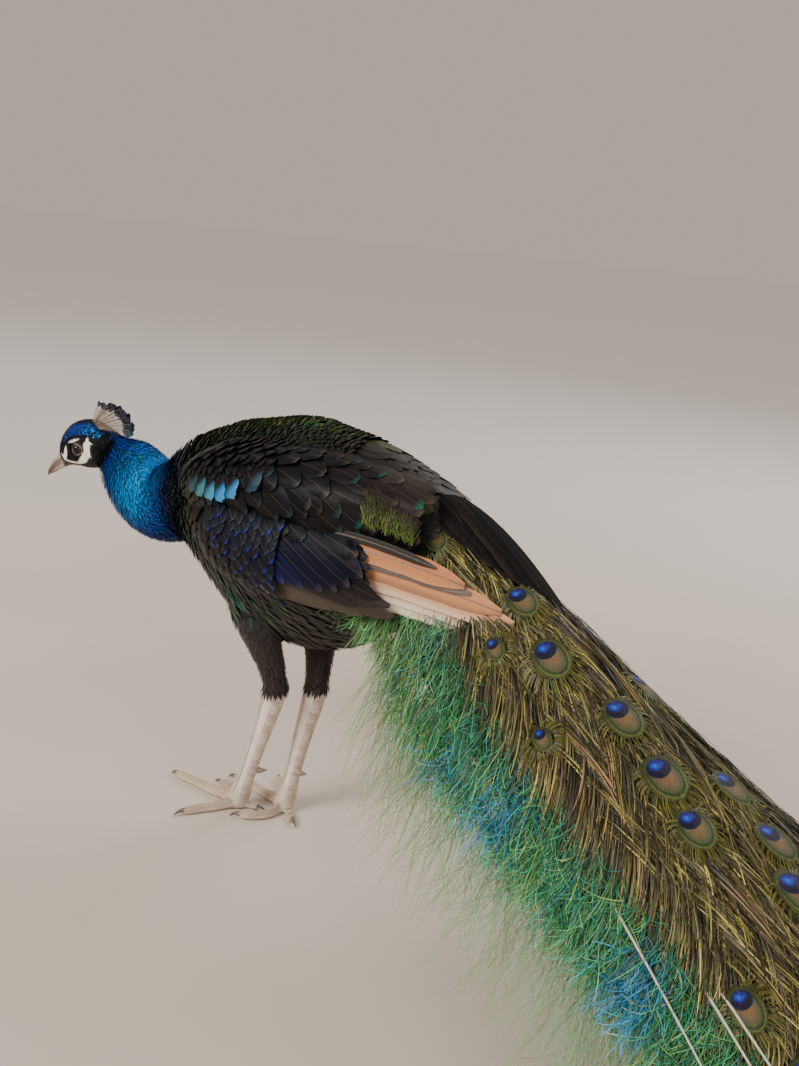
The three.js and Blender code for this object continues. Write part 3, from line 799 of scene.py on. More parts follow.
def add_skin():
    """The one skin of head, neck, trunk, legs and feet; gives back a search tree over it."""
    mesh = fused(flesh_parts())
    refine(mesh, lambda p: p[:, 0] < -236)
    refine(mesh, lambda p: (p[:, 0] < -244) & (p[:, 2] > 334) & (p[:, 2] < 380) & (np.abs(p[:, 1]) > 7))
    points = sculpt_head(own_points(mesh))
    mesh.vertices.foreach_set("co", in_frame(points).astype(np.float32).ravel())
    mesh.update()
    x, y, z = points.T
    speckle = hashed(len(points), 3)
    tint = markings(points, np.full(len(points), 0.5))
    # Grey lids and their dark rim
    radius = from_eye(x, z)
    aperture = np.hypot((x - EYE[0]) / LID_APERTURE[0], (z - EYE[2]) / LID_APERTURE[1])
    near = (np.abs(y) > 6) & (x < -244)
    lid = blended(colour("3a3431"), colour("1d1a19"), 0.5 + 0.5 * np.sin(radius * 5.2))
    tint = blended(tint, lid, (1 - smooth_step(8.9, 9.6, radius)) * near)
    halo = np.hypot((x - EYE[0] + 0.4) / 8.2, (z - EYE[2]) / 6.5)
    tint = blended(tint, colour("a89e96"), 0.9 * bell(halo, 1, 0.05) * near)
    tint = blended(tint, colour("1c1716"), (1 - smooth_step(1.0, 1.05, aperture)) * near)
    # Legs: paler shins, dusty feet, darker soles
    leg = z < 150
    dust = smooth_step(36, 8, z) * (0.6 + 0.4 * speckle)
    legs = blended(LEG_SKIN, colour("bfa78c"), dust * 0.7)
    tint = np.where(leg[:, None], legs, tint)
    add_tint(mesh, tint)
    mesh.polygons.foreach_set("use_smooth", np.full(len(mesh.polygons), True))
    mesh.materials.clear()
    mesh.materials.append(SKIN)
    piece = bpy.data.objects.new("skin", mesh)
    bpy.context.scene.collection.objects.link(piece)
    finish_piece(piece, "scaled_skin", "head", "neck", "trunk", "thigh_left", "thigh_right", "tarsus_left",
                 "tarsus_right", "foot_left", "foot_right")
    polygons = [tuple(polygon.vertices) for polygon in mesh.polygons]
    return BVHTree.FromPolygons([Vector(point) for point in points], polygons)


# ---------------------------------------------------------------------------------------------------------
# Eyes, bill
# ---------------------------------------------------------------------------------------------------------


def eye_material():
    """A dark brown iris with radial fibres round a black pupil, under a wet clear coat.

    The Iris map gives the angle round the eye's axis and the distance from it.
    """
    nodes = Nodes("eye_gloss")
    turn, reach, _ = nodes.parts(nodes.uv("Iris"))
    fibres = nodes.streaks(turn, 60.0, reach, 4.0)
    iris = nodes.ramp(fibres, [(0.3, colour("17100d")), (0.55, colour("33231b")), (0.75, colour("54402f"))])
    ring = nodes.ramp(reach, [(0.37, 0.0), (0.42, 1.0)])
    shade = nodes.blend(ring, (0.004, 0.004, 0.005), iris)
    outer = nodes.ramp(reach, [(0.66, 0.0), (0.74, 1.0)])
    shade = nodes.blend(outer, shade, colour("241c1a"))
    nodes.join(shade, nodes.shader.inputs["Base Color"])
    nodes.set(Roughness=0.12, Specular_IOR_Level=0.12, Coat_Weight=0.6, Coat_Roughness=0.02, Coat_IOR=1.38)
    return nodes.material


def add_eyes():
    """Smooth eyeballs with a slightly raised cornea, looking sideways and a little forward."""
    material = eye_material()
    rings, sides = 40, 64
    for name, sign in (("eye_left", LEFT), ("eye_right", RIGHT)):
        axis = unit([0.22, sign, 0.08])
        first = unit(np.cross(axis, [0, 0, 1]))
        second = np.cross(first, axis)
        polar = np.linspace(0.02, np.pi - 0.02, rings)[:, None]
        turn = np.linspace(0, 2 * np.pi, sides, endpoint=False)[None, :]
        bulge = 1 + 0.035 * np.exp(-((polar / 0.55) ** 2))
        radius = EYE_RADIUS * bulge * 0.985
        ball = (
            axis * (radius * np.cos(polar) + 0 * turn)[..., None]
            + first * (radius * np.sin(polar) * np.cos(turn))[..., None]
            + second * (radius * np.sin(polar) * np.sin(turn))[..., None]
        )
        centre = EYE * [1, -sign, 1]
        points = ball.reshape(-1, 3) + centre
        faces = ring_faces(rings, sides)
        uv = np.stack(np.broadcast_arrays(np.abs(turn / (2 * np.pi) - 0.5), polar / 1.35), -1).reshape(-1, 2)
        piece = make_object(name + "_ball", points, faces, material, uvs={"Iris": uv})
        finish_piece(piece, "eye", name)


def nostril(x, z, long, high):
    """The slit of the nostril in the side view."""
    return bell(x + 0.4 * (z - 345), -306.5, long) * bell(z, 344.6, high)


def add_bill():
    """Pinkish horn over both halves of the bill, greyer at the tip, with dark cutting edges and nostrils."""
    rings, sides = 64, 56
    t = np.linspace(0, 1, rings)[:, None]
    angle = np.linspace(0, 2 * np.pi, sides, endpoint=False)[None, :]
    degrees = np.repeat(np.degrees(angle), rings, axis=0)
    for name, shape, edges in (("bill_upper", UPPER_BILL, (195, 345)), ("bill_lower", LOWER_BILL, (14, 166))):
        body = round_points(shape, t, angle, inset=0.0)
        if name == "bill_upper":
            # A pinched ridge along the top, and a slit under a swollen cover on each side
            body[..., 2] += 0.35 * np.maximum(np.sin(angle), 0) ** 6
            x, y, z = body[..., 0], body[..., 1], body[..., 2]
            cover = bell(x, -305, 4.2) * bell(z, 347.0, 1.6)
            body[..., 1] += np.sign(y) * (np.abs(y) > 2) * (0.7 * cover - 1.7 * nostril(x, z, 3.0, 0.85))
        points = body.reshape(-1, 3)
        x, _, z = points.T
        dark = sum(bell(degrees, edge, 16) for edge in edges).ravel()
        tint = blended(colour("cdb3a8"), colour("6f5c54"), smooth_step(-300, -334, x))
        tint = blended(tint, DARK_HORN * 0.35, 0.85 * np.clip(dark, 0, 1))
        if name == "bill_upper":
            tint = blended(tint, DARK_HORN * 0.5, 0.7 * bell(degrees, 90, 26).ravel())
            tint = blended(tint, colour("2a201d"), 0.85 * nostril(x, z, 2.6, 0.7))
        else:
            tint = blended(tint, BLACK, smooth_step(-308, -303, x))
        piece = make_object(name + "_horn", points, ring_faces(rings, sides), HORN_MATERIAL, tint)
        finish_piece(piece, "horn", name)


# ---------------------------------------------------------------------------------------------------------
# Feathers that creep over a guide surface
# ---------------------------------------------------------------------------------------------------------

MOST_QUADS = 90000  # in one coat piece, so that it stays under 200,000 triangles
PATCH = 0.003  # width of one tuft's patch on the bake map


def creep(guide, roots, ahead, lengths, rows, outward=None):
    """Centre lines that start at roots, head ahead and keep to the guide, with the normals along them."""
    count = len(roots)
    centres = np.empty((count, rows, 3))
    normals = np.empty_like(centres)
    steps = np.broadcast_to(np.asarray(lengths, float), (count,)) / (rows - 1)
    for i in range(count):
        point = Vector(roots[i])
        direction = Vector(ahead[i])
        step = float(steps[i])
        for k in range(rows):
            place, normal, _, _ = guide.find_nearest(point)
            if outward is not None and normal.dot(outward) < 0:
                normal = -normal
            centres[i, k] = place
            normals[i, k] = normal
            direction = direction - normal * direction.dot(normal)
            direction.normalize()
            point = place + direction * step
    return centres, normals


# Widths of vanes from root to tip
ROUND_TIP = [0.45, 0.8, 0.97, 1.0, 0.93, 0.72, 0.22]
POINTED_TIP = [0.5, 0.85, 1.0, 0.9, 0.68, 0.42, 0.1]
BLUNT_ROUND = [0.3, 0.62, 0.85, 0.96, 1.0, 1.0, 1.0, 0.99, 0.93, 0.74, 0.25]
LONG_ROUND = [0.3, 0.62, 0.85, 0.96, 1.0, 1.0, 0.98, 0.93, 0.8, 0.55, 0.12]
STRAND = [1.0, 1.0, 0.92, 0.8, 0.6, 0.3]
DISC = [0.12, 0.62, 0.82, 0.94, 0.99, 1.0, 0.985, 0.93, 0.81, 0.6, 0.12]


def settled(guide, points, normals, outward, reach=5.0):
    """Points moved onto the guide where it is near, with its normals there."""
    flat, up = points.reshape(-1, 3).copy(), normals.reshape(-1, 3).copy()
    for i, point in enumerate(flat.tolist()):
        place, normal, _, gap = guide.find_nearest(Vector(point))
        if gap < reach:
            if outward is not None and normal.dot(outward) < 0:
                normal = -normal
            flat[i] = place
            up[i] = normal
    return flat.reshape(points.shape), up.reshape(normals.shape)


class Coat:
    """Vanes gathered into one or more joined meshes."""

    def __init__(self, name, material, slot):
        self.name, self.material, self.slot = name, material, slot
        self.batches = []

    def add(self, centres, normals, half, tint, outline=ROUND_TIP, columns=3, lift=(0.0, 1.0), camber=0.12,
            fray=0.1, bake=None, edge=1.0, tip=None, tip_from=0.75, root_shade=0.55, seed=1, skew=0.0,
            guide=None, outward=None, patch=PATCH, margins=None, disc=False):
        """Adds one vane along each centre line.

        lift is its height over the guide at root and tip; edge scales the colour of both its margins, while
        margins colours them; tip is a colour (or one for each vane) that it takes beyond tip_from.
        """
        count, rows, _ = centres.shape
        if count == 0:
            return
        ahead = unit(np.gradient(centres, axis=1))
        across = unit(np.cross(normals, ahead))
        a = np.linspace(0, 1, rows)
        b = np.linspace(-1, 1, columns)
        half = np.broadcast_to(np.asarray(half, float), (count,))
        width = half[:, None] * spline(outline, a)[None]
        noise = np.random.default_rng(seed).normal(0, 1, (count, rows, columns))
        spread = width[..., None] * (b + skew * (1 - b**2)) * (1 + fray * noise * np.abs(b))
        root_lift, tip_lift = (np.broadcast_to(np.asarray(v, float), (count,))[:, None] for v in lift)
        height = root_lift + (tip_lift - root_lift) * a[None] ** 1.2
        raised = height[..., None] + camber * width[..., None] * (1 - b**2)
        length = np.linalg.norm(np.diff(centres, axis=1), axis=-1).sum(axis=1)
        slip = fray * noise * (a[None, :, None] > 0.9) * half[:, None, None] * 0.6
        flat = (centres[:, :, None] + across[:, :, None] * spread[..., None]
                + ahead[:, :, None] * slip[..., None])
        up = np.broadcast_to(normals[:, :, None], flat.shape)
        if guide is not None:
            flat, up = settled(guide, flat, up, outward)
        points = flat + up * raised[..., None]
        tint = np.asarray(tint, float).reshape(-1, 1, 1, 3)
        # Darker towards the root: partly the duller base of each feather, partly painted shade where the
        # feathers beside and over it cover it
        shade = (root_shade + (1 - root_shade) * smooth_step(0.1, 0.7, a))[None, :, None] * (
            1 + (edge - 1) * np.abs(b) ** 3
        )
        tints = tint * shade[..., None] * np.ones((count, rows, columns, 1))
        if tip is not None:
            tip = np.asarray(tip, float).reshape(-1, 1, 1, 3)
            share = smooth_step(tip_from, min(tip_from + 0.22, 1.0), a)[None, :, None, None]
            tints = tints * (1 - share) + tip * share
        if margins is not None:
            for margin, beside in zip(margins, (-b, b)):
                share = np.broadcast_to(smooth_step(0.55, 0.95, beside), (count, rows, columns))
                tints = blended(tints, margin, share)
        along = a[None, :, None] * length[:, None, None] * np.ones((1, 1, columns))
        vane = np.stack([spread, along], -1)
        if disc:
            vane = np.stack([spread / half[:, None, None], along / length[:, None, None] * 2 - 1], -1)
        if bake is None:
            bake = np.full((count, 2), 0.5)
        cell = np.stack(np.broadcast_arrays(a[None, :, None] - 0.5, b[None, None, :] * 0.5), -1)
        bakes = np.clip(bake[:, None, None, :] + cell * np.broadcast_to(patch, 2)[::-1], 0, 1)
        self.batches.append((rows, columns, points, tints, vane, bakes))

    def add_strands(self, centres, normals, half, tint, **style):
        """Adds a thin flat barb along each centre line."""
        self.add(centres, normals, half, tint, outline=STRAND, columns=2, lift=(0, 0), camber=0.0, fray=0.0,
                 **style)

    def build(self, *nodes):
        """Makes the joined meshes, each small enough for the export."""
        pieces = []
        stock = []
        quads = 0
        for rows, columns, points, tints, vane, bakes in self.batches:
            faces = grid_faces(rows, columns)
            each = len(faces)
            start = 0
            while start < len(points):
                room = max((MOST_QUADS - quads) // each, 0)
                if room == 0:
                    pieces.append(self.join(stock, len(pieces)))
                    stock, quads = [], 0
                    continue
                end = min(start + room, len(points))
                stock.append((faces, rows * columns, points[start:end], tints[start:end], vane[start:end],
                              bakes[start:end]))
                quads += (end - start) * each
                start = end
        if stock:
            pieces.append(self.join(stock, len(pieces)))
        for i, piece in enumerate(pieces):
            finish_piece(piece, self.slot, *(nodes if i == 0 else ()))
        return pieces

    def join(self, stock, number):
        """One mesh from slices of the batches."""
        points, tints, vane, bakes, faces, first = [], [], [], [], [], 0
        for shape, each, part, tint, part_vane, bake in stock:
            count = len(part)
            points.append(part.reshape(-1, 3))
            tints.append(tint.reshape(-1, 3))
            vane.append(part_vane.reshape(-1, 2))
            bakes.append(bake.reshape(-1, 2))
            faces.append(repeated_faces(shape, each, count) + first)
            first += each * count
        uvs = {"OFBake": np.concatenate(bakes), "Vane": np.concatenate(vane)}
        return make_object(f"{self.name}_{number + 1}", np.concatenate(points), np.concatenate(faces),
                           self.material, np.clip(np.concatenate(tints), 0, 4), uvs)


def rows_on(shape, first, last, along_gap, around_gap, inset, seed, ahead_sign=1.0):
    """Roots in staggered rings over a rounded body, and the way that its feathers lie there."""
    fine = np.linspace(first, last, 400)
    path = spline(shape["path"], fine)
    run = np.concatenate([[0], np.cumsum(np.linalg.norm(np.diff(path, axis=0), axis=1))])
    count = max(int(run[-1] / along_gap), 2)
    stations = np.interp((np.arange(count) + 0.5) / count * run[-1], run, fine)
    random = np.random.default_rng(seed)
    roots, ways = [], []
    for row, t in enumerate(stations):
        turn = np.linspace(0, 2 * np.pi, 181)
        ring = round_points(shape, np.full(181, t), turn, inset)
        girth = np.concatenate([[0], np.cumsum(np.linalg.norm(np.diff(ring, axis=0), axis=1))])
        number = max(int(girth[-1] / around_gap), 4)
        place = (np.arange(number) + 0.5 * (row % 2) + random.uniform(-0.28, 0.28, number)) / number
        angle = np.interp((place % 1) * girth[-1], girth, turn)
        here = t + random.uniform(-0.3, 0.3, number) * (last - first) / count
        root = round_points(shape, here, angle, inset)
        onward = round_points(shape, np.clip(here + 0.01, 0, 1), angle, inset)
        back = round_points(shape, np.clip(here - 0.01, 0, 1), angle, inset)
        roots.append(root)
        ways.append(unit(onward - back) * ahead_sign)
    return np.concatenate(roots), np.concatenate(ways)


def on_surface(guide, roots, ways, reach=4.0):
    """Only the roots that lie near the skin, and not buried where two lofts meet."""
    keep = np.array([guide.find_nearest(Vector(root))[3] < reach for root in roots])
    return roots[keep], ways[keep]


def unwrap(roots, low, high):
    """A cylindrical unwrap of the body: its length and the angle round its middle line."""
    x, y, z = roots.T
    middle = np.interp(x, [-310, -240, -186, -120, 0, 65, 185, 275], [350, 358, 326, 332, 322, 324, 342, 322])
    u = (x - low) / (high - low)
    v = np.arctan2(y, -(z - middle)) / (2 * np.pi) + 0.5
    return np.stack([0.01 + 0.98 * np.clip(u, 0, 1), 0.01 + 0.98 * v], -1)


def limb_unwrap(roots, path):
    """The same for a thigh: its height and the angle round its own path."""
    x, y, z = roots.T
    path = np.array(path, float)
    middle_x = np.interp(z, path[::-1, 2], path[::-1, 0])
    middle_y = np.interp(z, path[::-1, 2], path[::-1, 1])
    v = np.arctan2(y - middle_y, x - middle_x) / (2 * np.pi) + 0.5
    return np.stack([0.01 + 0.98 * np.clip((z - 140) / 130, 0, 1), 0.01 + 0.98 * v], -1)


# ---------------------------------------------------------------------------------------------------------
# Body coat
# ---------------------------------------------------------------------------------------------------------

NECK_PLUMAGE = plumage("neck_plumage", 0.4, 0.36, contrast=0.45, barb=2.6, slant=0.9)
BODY_PLUMAGE = plumage("body_plumage", 0.2, 0.42, contrast=0.4, barb=1.4, slant=0.8)
THIGH_PLUMAGE = plumage("thigh_plumage", 0.0, 0.75, contrast=0.45, barb=2.0, slant=0.8, sheen=0.4)


def on_mantle(roots):
    """Roots of the scaly feathers between the wings."""
    x, y, z = roots.T
    return (np.abs(y) < 44) & (z > 366) & (x > -118) & (x < 96)


def on_rump(roots):
    """Roots of the broad feathers behind the wings."""
    x, _, z = roots.T
    return (x >= 92) & (z > 345)


def add_trunk_coat(guide):
    """Fine scales on the mantle, broad dark feathers on the rump and narrow silky ones everywhere else."""
    coat = Coat("coat_trunk", BODY_PLUMAGE, "body_feathers")
    kinds = (("silky", 6.2, 5.0, 11), ("scaly", 5.0, 5.0, 16), ("broad", 11.0, 9.0, 18))
    for kind, along_gap, around_gap, seed in kinds:
        rows = rows_on(TRUNK, 0.02, 0.985, along_gap, around_gap, COAT_DEPTH["trunk"], seed)
        roots, ways = on_surface(guide, *rows)
        scaly, broad = on_mantle(roots), on_rump(roots)
        under_train = (roots[:, 0] > (168 if kind == "broad" else 122)) & (roots[:, 2] > 325)
        keep = dict(silky=~scaly & ~broad, scaly=scaly, broad=broad)[kind] & ~under_train
        roots, ways = roots[keep], ways[keep]
        x, _, z = roots.T
        speckle = hashed(len(roots), seed + 1)
        size = 0.85 + 0.3 * hashed(len(roots), seed + 2)
        low = smooth_step(330, 240, z)
        ways = unit(ways + np.stack([0 * x, 0 * x, -0.35 * low], -1))
        tint = markings(roots, speckle)
        place = unwrap(roots, -146, 280)
        if kind == "silky":
            breast = 1 - smooth_step(-120, -30, x)
            centres, normals = creep(guide, roots, ways, mix(25, 15, breast) * size, 6)
            streak = (speckle > 0.72) & (low > 0.2)
            tint = blended(tint, colour("55503f"), 0.35 * streak)
            coat.add(centres, normals, mix(3.3, 2.6, breast) * size, tint, outline=POINTED_TIP,
                     lift=(0.4, 5.6), camber=0.22, fray=0.16, bake=place, edge=1.1, seed=seed,
                     root_shade=0.45)
        elif kind == "scaly":
            centres, normals = creep(guide, roots, ways, 13 * size, 5)
            coat.add(centres, normals, 4.1 * size, tint, columns=5, lift=(0.6, 6.2), camber=0.2, bake=place,
                     edge=1.5, seed=seed, root_shade=0.35)
        else:
            centres, normals = creep(guide, roots, ways, 44 * size, 9)
            coat.add(centres, normals, 9.5 * size, tint, outline=LONG_ROUND, columns=5, lift=(0.4, 6.4),
                     fray=0.06, bake=place, edge=1.35, seed=seed, root_shade=0.6)
    coat.build()


def add_neck_coat(guide):
    """Fine pointed neck feathers, packed closely."""
    coat = Coat("coat_neck", NECK_PLUMAGE, "neck_feathers")
    roots, ways = on_surface(guide, *rows_on(NECK, 0.14, 0.93, 2.7, 2.3, COAT_DEPTH["neck"], 21))
    keep = (roots[:, 0] > -236) & (roots[:, 0] < -104)
    roots, ways = roots[keep], ways[keep]
    speckle = hashed(len(roots), 22)
    size = mix(7.5, 11.5, smooth_step(-235, -170, roots[:, 0])) * (0.85 + 0.3 * hashed(len(roots), 23))
    centres, normals = creep(guide, roots, ways, size, 5)
    coat.add(centres, normals, size * 0.145, markings(roots, speckle), outline=POINTED_TIP, columns=3,
             lift=(0.3, 4.4 + 0.5 * speckle), camber=0.25, fray=0.22, bake=unwrap(roots, -240, -100), seed=24,
             root_shade=0.45, edge=0.85)
    coat.build()


def add_head_coat(guide):
    """Tiny scale feathers of the crown and velvety ones of the face, none on the bare patches."""
    coat = Coat("coat_head", NECK_PLUMAGE, "neck_feathers")
    rows = rows_on(HEAD, 0.0, 0.9, 1.35, 1.25, COAT_DEPTH["head"], 31, ahead_sign=-1.0)
    roots, ways = on_surface(guide, *rows, reach=3.5)
    near_eye = from_eye(roots[:, 0], roots[:, 2]) < 9.2
    keep = (bare_face(roots) < 0.5) & ~(near_eye & (np.abs(roots[:, 1]) > 6)) & (roots[:, 0] < -224)
    roots, ways = roots[keep], ways[keep]
    x = roots[:, 0]
    speckle = hashed(len(roots), 32)
    size = mix(3.6, 2.3, smooth_step(-240, -275, x)) * (0.8 + 0.4 * hashed(len(roots), 33))
    centres, normals = creep(guide, roots, ways, size, 4)
    coat.add(centres, normals, size * 0.24, markings(roots, speckle), outline=POINTED_TIP, columns=3,
             lift=(0.1, mix(1.9, 0.9, smooth_step(-232, -262, x))), camber=0.3, fray=0.15,
             bake=unwrap(roots, -315, -224), seed=34, root_shade=0.5)
    coat.build()


def add_thigh_coats(guide):
    """Short velvety feathers down to the jagged ends at the ankles."""
    for name, leg in LEGS.items():
        coat = Coat(f"coat_thigh_{name}", THIGH_PLUMAGE, "thigh_feathers")
        shape = dict(THIGH_SIZES, path=leg["thigh"])
        roots, ways = on_surface(guide, *rows_on(shape, 0.22, 0.97, 3.4, 3.2, COAT_DEPTH["thigh"], 41))
        speckle = hashed(len(roots), 42)
        length = mix(11, 15, smooth_step(170, 220, roots[:, 2])) * (0.8 + 0.4 * hashed(len(roots), 43))
        centres, normals = creep(guide, roots, ways, length, 5)
        tint = blended(markings(roots, speckle), colour("2b211c") * (0.5 + 0.7 * speckle)[:, None],
                       1 - smooth_step(222, 250, roots[:, 2]))
        coat.add(centres, normals, length * 0.17, tint, outline=POINTED_TIP, columns=3,
                 lift=(0.3, 3.9), camber=0.2, fray=0.2, bake=limb_unwrap(roots, leg["thigh"]), seed=44,
                 root_shade=0.45)
        coat.build()


# ---------------------------------------------------------------------------------------------------------
# Crest
# ---------------------------------------------------------------------------------------------------------


def tubes(paths, radii, sides):
    """Closed thin tubes along centre lines (count, rows, 3): points and the faces of one tube."""
    count, rows, _ = paths.shape
    ahead = unit(np.gradient(paths, axis=1))
    helper = np.where(np.abs(ahead[..., 2:3]) > 0.9, [1.0, 0, 0], [0, 0, 1.0])
    first = unit(np.cross(ahead, helper))
    second = np.cross(first, ahead)
    turn = np.linspace(0, 2 * np.pi, sides, endpoint=False)[:, None]
    radii = np.broadcast_to(radii, (count, rows))
    ring = first[:, :, None] * np.cos(turn) + second[:, :, None] * np.sin(turn)
    points = paths[:, :, None] + ring * radii[..., None, None]
    return points.reshape(count, rows * sides, 3), ring_faces(rows, sides)


def add_tubes(name, paths, radii, tint, slot, *nodes, sides=5):
    """Bare horn shafts along centre lines; tint is one colour, one for each tube, or one for each point."""
    points, faces = tubes(paths, radii, sides)
    piece = make_object(name, points.reshape(-1, 3), repeated_faces(faces, points.shape[1], len(points)),
                        HORN_MATERIAL, np.broadcast_to(tint, points.shape).reshape(-1, 3))
    finish_piece(piece, slot, *nodes)


def add_crest():
    """A swept fan of bare shafts with spatulate blue-green tips."""
    number = 27
    t = np.linspace(0, 1, number)
    sway = hashed(number, 51, -1, 1)
    side = 2.2 * np.where(np.arange(number) % 2, 1, -1) * (0.3 + 0.7 * hashed(number, 53))
    root = np.stack([mix(-264, -246, t), mix(-3, -10, t) + side * 0.6, mix(392.5, 387, t)], -1)
    stations = [0, 0.08, 0.25, 0.45, 0.65, 0.8, 1]
    tip = np.stack([np.interp(t, stations, [-252, -243, -230, -218, -209, -204, -203]), -5 + side,
                    np.interp(t, stations, [417, 415, 417, 413, 407, 399, 389])], -1)
    length = np.linalg.norm(tip - root, axis=1) * (1 + 0.04 * hashed(number, 52, -1, 1))
    along = unit(tip - root + np.random.default_rng(52).normal(0, 0.8, root.shape))
    bend = np.array([0.02, 0, -0.03])

    def on_shaft(which, share):
        """Points at shares of the length of each shaft."""
        share = np.atleast_2d(share)[..., None]
        return root[which, None] + length[which, None, None] * (along[which, None] * share + bend * share**2)

    each_shaft = np.arange(number)
    share = np.linspace(0, 1, 12)
    tint = blended(colour("a8937f"), colour("6d5c4e"), hashed(number, 54))
    add_tubes("crest_shafts", on_shaft(each_shaft, share), mix(0.34, 0.16, share), tint[:, None],
              "crest_feathers", "crest")
    coat = Coat("crest_tips", NECK_PLUMAGE, "crest_feathers")
    side_way = np.array([0.0, 1.0, 0.0])
    # Spatulate tips, each a flat fan that faces sideways
    tips = on_shaft(each_shaft, np.linspace(0.74, 1.03, 7))
    tilt = unit(side_way + np.stack([0.3 * sway, 0 * t, 0.3 * hashed(number, 55, -1, 1)], -1))
    normals = np.repeat(tilt[:, None], 7, axis=1)
    shade = blended(colour("0c0a1c"), colour("221a4c"), hashed(number, 56))
    shade = np.where((hashed(number, 63) > 0.8)[:, None], colour("14485a"), shade)
    spots = np.stack([0.05 + 0.9 * t, np.full(number, 0.75)], -1)
    coat.add(tips, normals, 3.4, shade, outline=[0.12, 0.5, 0.9, 1.0, 1.0, 0.8, 0.35], columns=7, lift=(0, 0),
             camber=0.05, fray=0.3, bake=spots, seed=57, root_shade=0.6, edge=0.7)
    # Sparse short barbs along the bare shafts
    each = 36
    place = np.tile(np.linspace(0.08, 0.8, each), number)
    which = np.repeat(each_shaft, each)
    sign = np.where(np.arange(len(place)) % 2, 1.0, -1.0)
    out = np.cross(along[which], side_way) * sign[:, None]
    way = unit(along[which] * 1.6 + out + np.random.default_rng(58).normal(0, 0.25, out.shape))
    reach = mix(1.6, 4.4, place) * (0.7 + 0.6 * hashed(len(place), 59))
    run = (reach[:, None] * np.linspace(0, 1, 3))[..., None]
    barbs = on_shaft(which, place[:, None]) + way[:, None] * run
    tint = blended(colour("93806c"), colour("5c4c40"), hashed(len(place), 64))
    spots = np.stack([0.05 + 0.9 * t[which], 0.1 + 0.5 * place], -1)
    coat.add(barbs, np.broadcast_to(side_way, barbs.shape), 0.17, tint, outline=[1, 0.8, 0.3], columns=2,
             lift=(0, 0), camber=0, fray=0, bake=spots, seed=60)
    coat.build()


# ---------------------------------------------------------------------------------------------------------
# Scutes, claws and spurs
# ---------------------------------------------------------------------------------------------------------


def plate_batch(shape, stations, length_share, middle, spread, columns=7, rows=4, lift=0.5):
    """Scutes on a rounded limb: each is a strip across it whose lower edge stands out."""
    along = np.linspace(0, 1, rows)[None, :, None]
    across = np.linspace(-1, 1, columns)[None, None, :]
    t = np.clip(stations[:, None, None] + length_share * along + 0 * across, 0, 1)
    angle = middle + spread * across * (1 - 0.1 * along**2)
    height = lift * (0.25 + 0.75 * along) * (1 - 0.85 * np.abs(across) ** 4)
    t = t - 0.12 * length_share * across**2
    return round_points(shape, np.clip(t, 0, 1), angle + 0 * t, -height)


def add_scutes():
    """Broad plates down the front of each shank and along each toe, small ones behind."""
    material = plumage("scute_horn", 0.0, 0.5, contrast=0.12, barb=1.6, slant=0.1)
    front, back = 1.5 * np.pi, 0.5 * np.pi
    for name, leg in LEGS.items():
        coat = Coat(f"scutes_{name}", material, "scaled_skin")
        shank = dict(TARSUS_SIZES, path=leg["tarsus"])
        batches = [plate_batch(shank, np.linspace(0.16, 0.93, 21), 0.05, front, 1.15, lift=0.55)]
        for column, middle in enumerate((back - 0.75, back, back + 0.75)):
            stations = np.linspace(0.18, 0.93, 30) + 0.012 * (column % 2)
            batches.append(plate_batch(shank, stations, 0.035, middle, 0.4, columns=5, lift=0.35))
        for toe, route in leg["toes"].items():
            shape = toe_shape(route, TOE_RADIUS * TOE_SHARES[toe])
            number = TOE_SCUTES[toe]
            stations = np.linspace(0.06, 0.9, number)
            batches.append(plate_batch(shape, stations, 0.88 / number, back, 1.1, lift=0.45))
        for serial, points in enumerate(batches):
            count, rows, columns, _ = points.shape
            points[..., 2] = np.maximum(points[..., 2], 0.3)
            tint = blended(colour("e2d0c4"), colour("c8b19d"), hashed(count, 70 + serial))
            tint = blended(tint, colour("c2ab8d"), 0.75 * smooth_step(40, 8, points[:, 0, 0, 2]))
            along, across = np.meshgrid(np.linspace(0, 1, rows), np.linspace(-1, 1, columns), indexing="ij")
            # Each plate darker at its root end, which lies under the raised edge of the plate before it:
            # painted shade
            tints = tint[:, None, None] * (0.72 + 0.34 * along[..., None])
            vane = np.broadcast_to(np.stack([across, along], -1) * 4, (count, rows, columns, 2))
            place = np.stack([np.full(count, 0.04 + 0.1 * serial), np.linspace(0.05, 0.95, count)], -1)
            patch = np.stack([across * 0.5, along - 0.5], -1) * PATCH * 4
            coat.batches.append((rows, columns, points, tints, vane, place[:, None, None, :] + patch))
        coat.build()


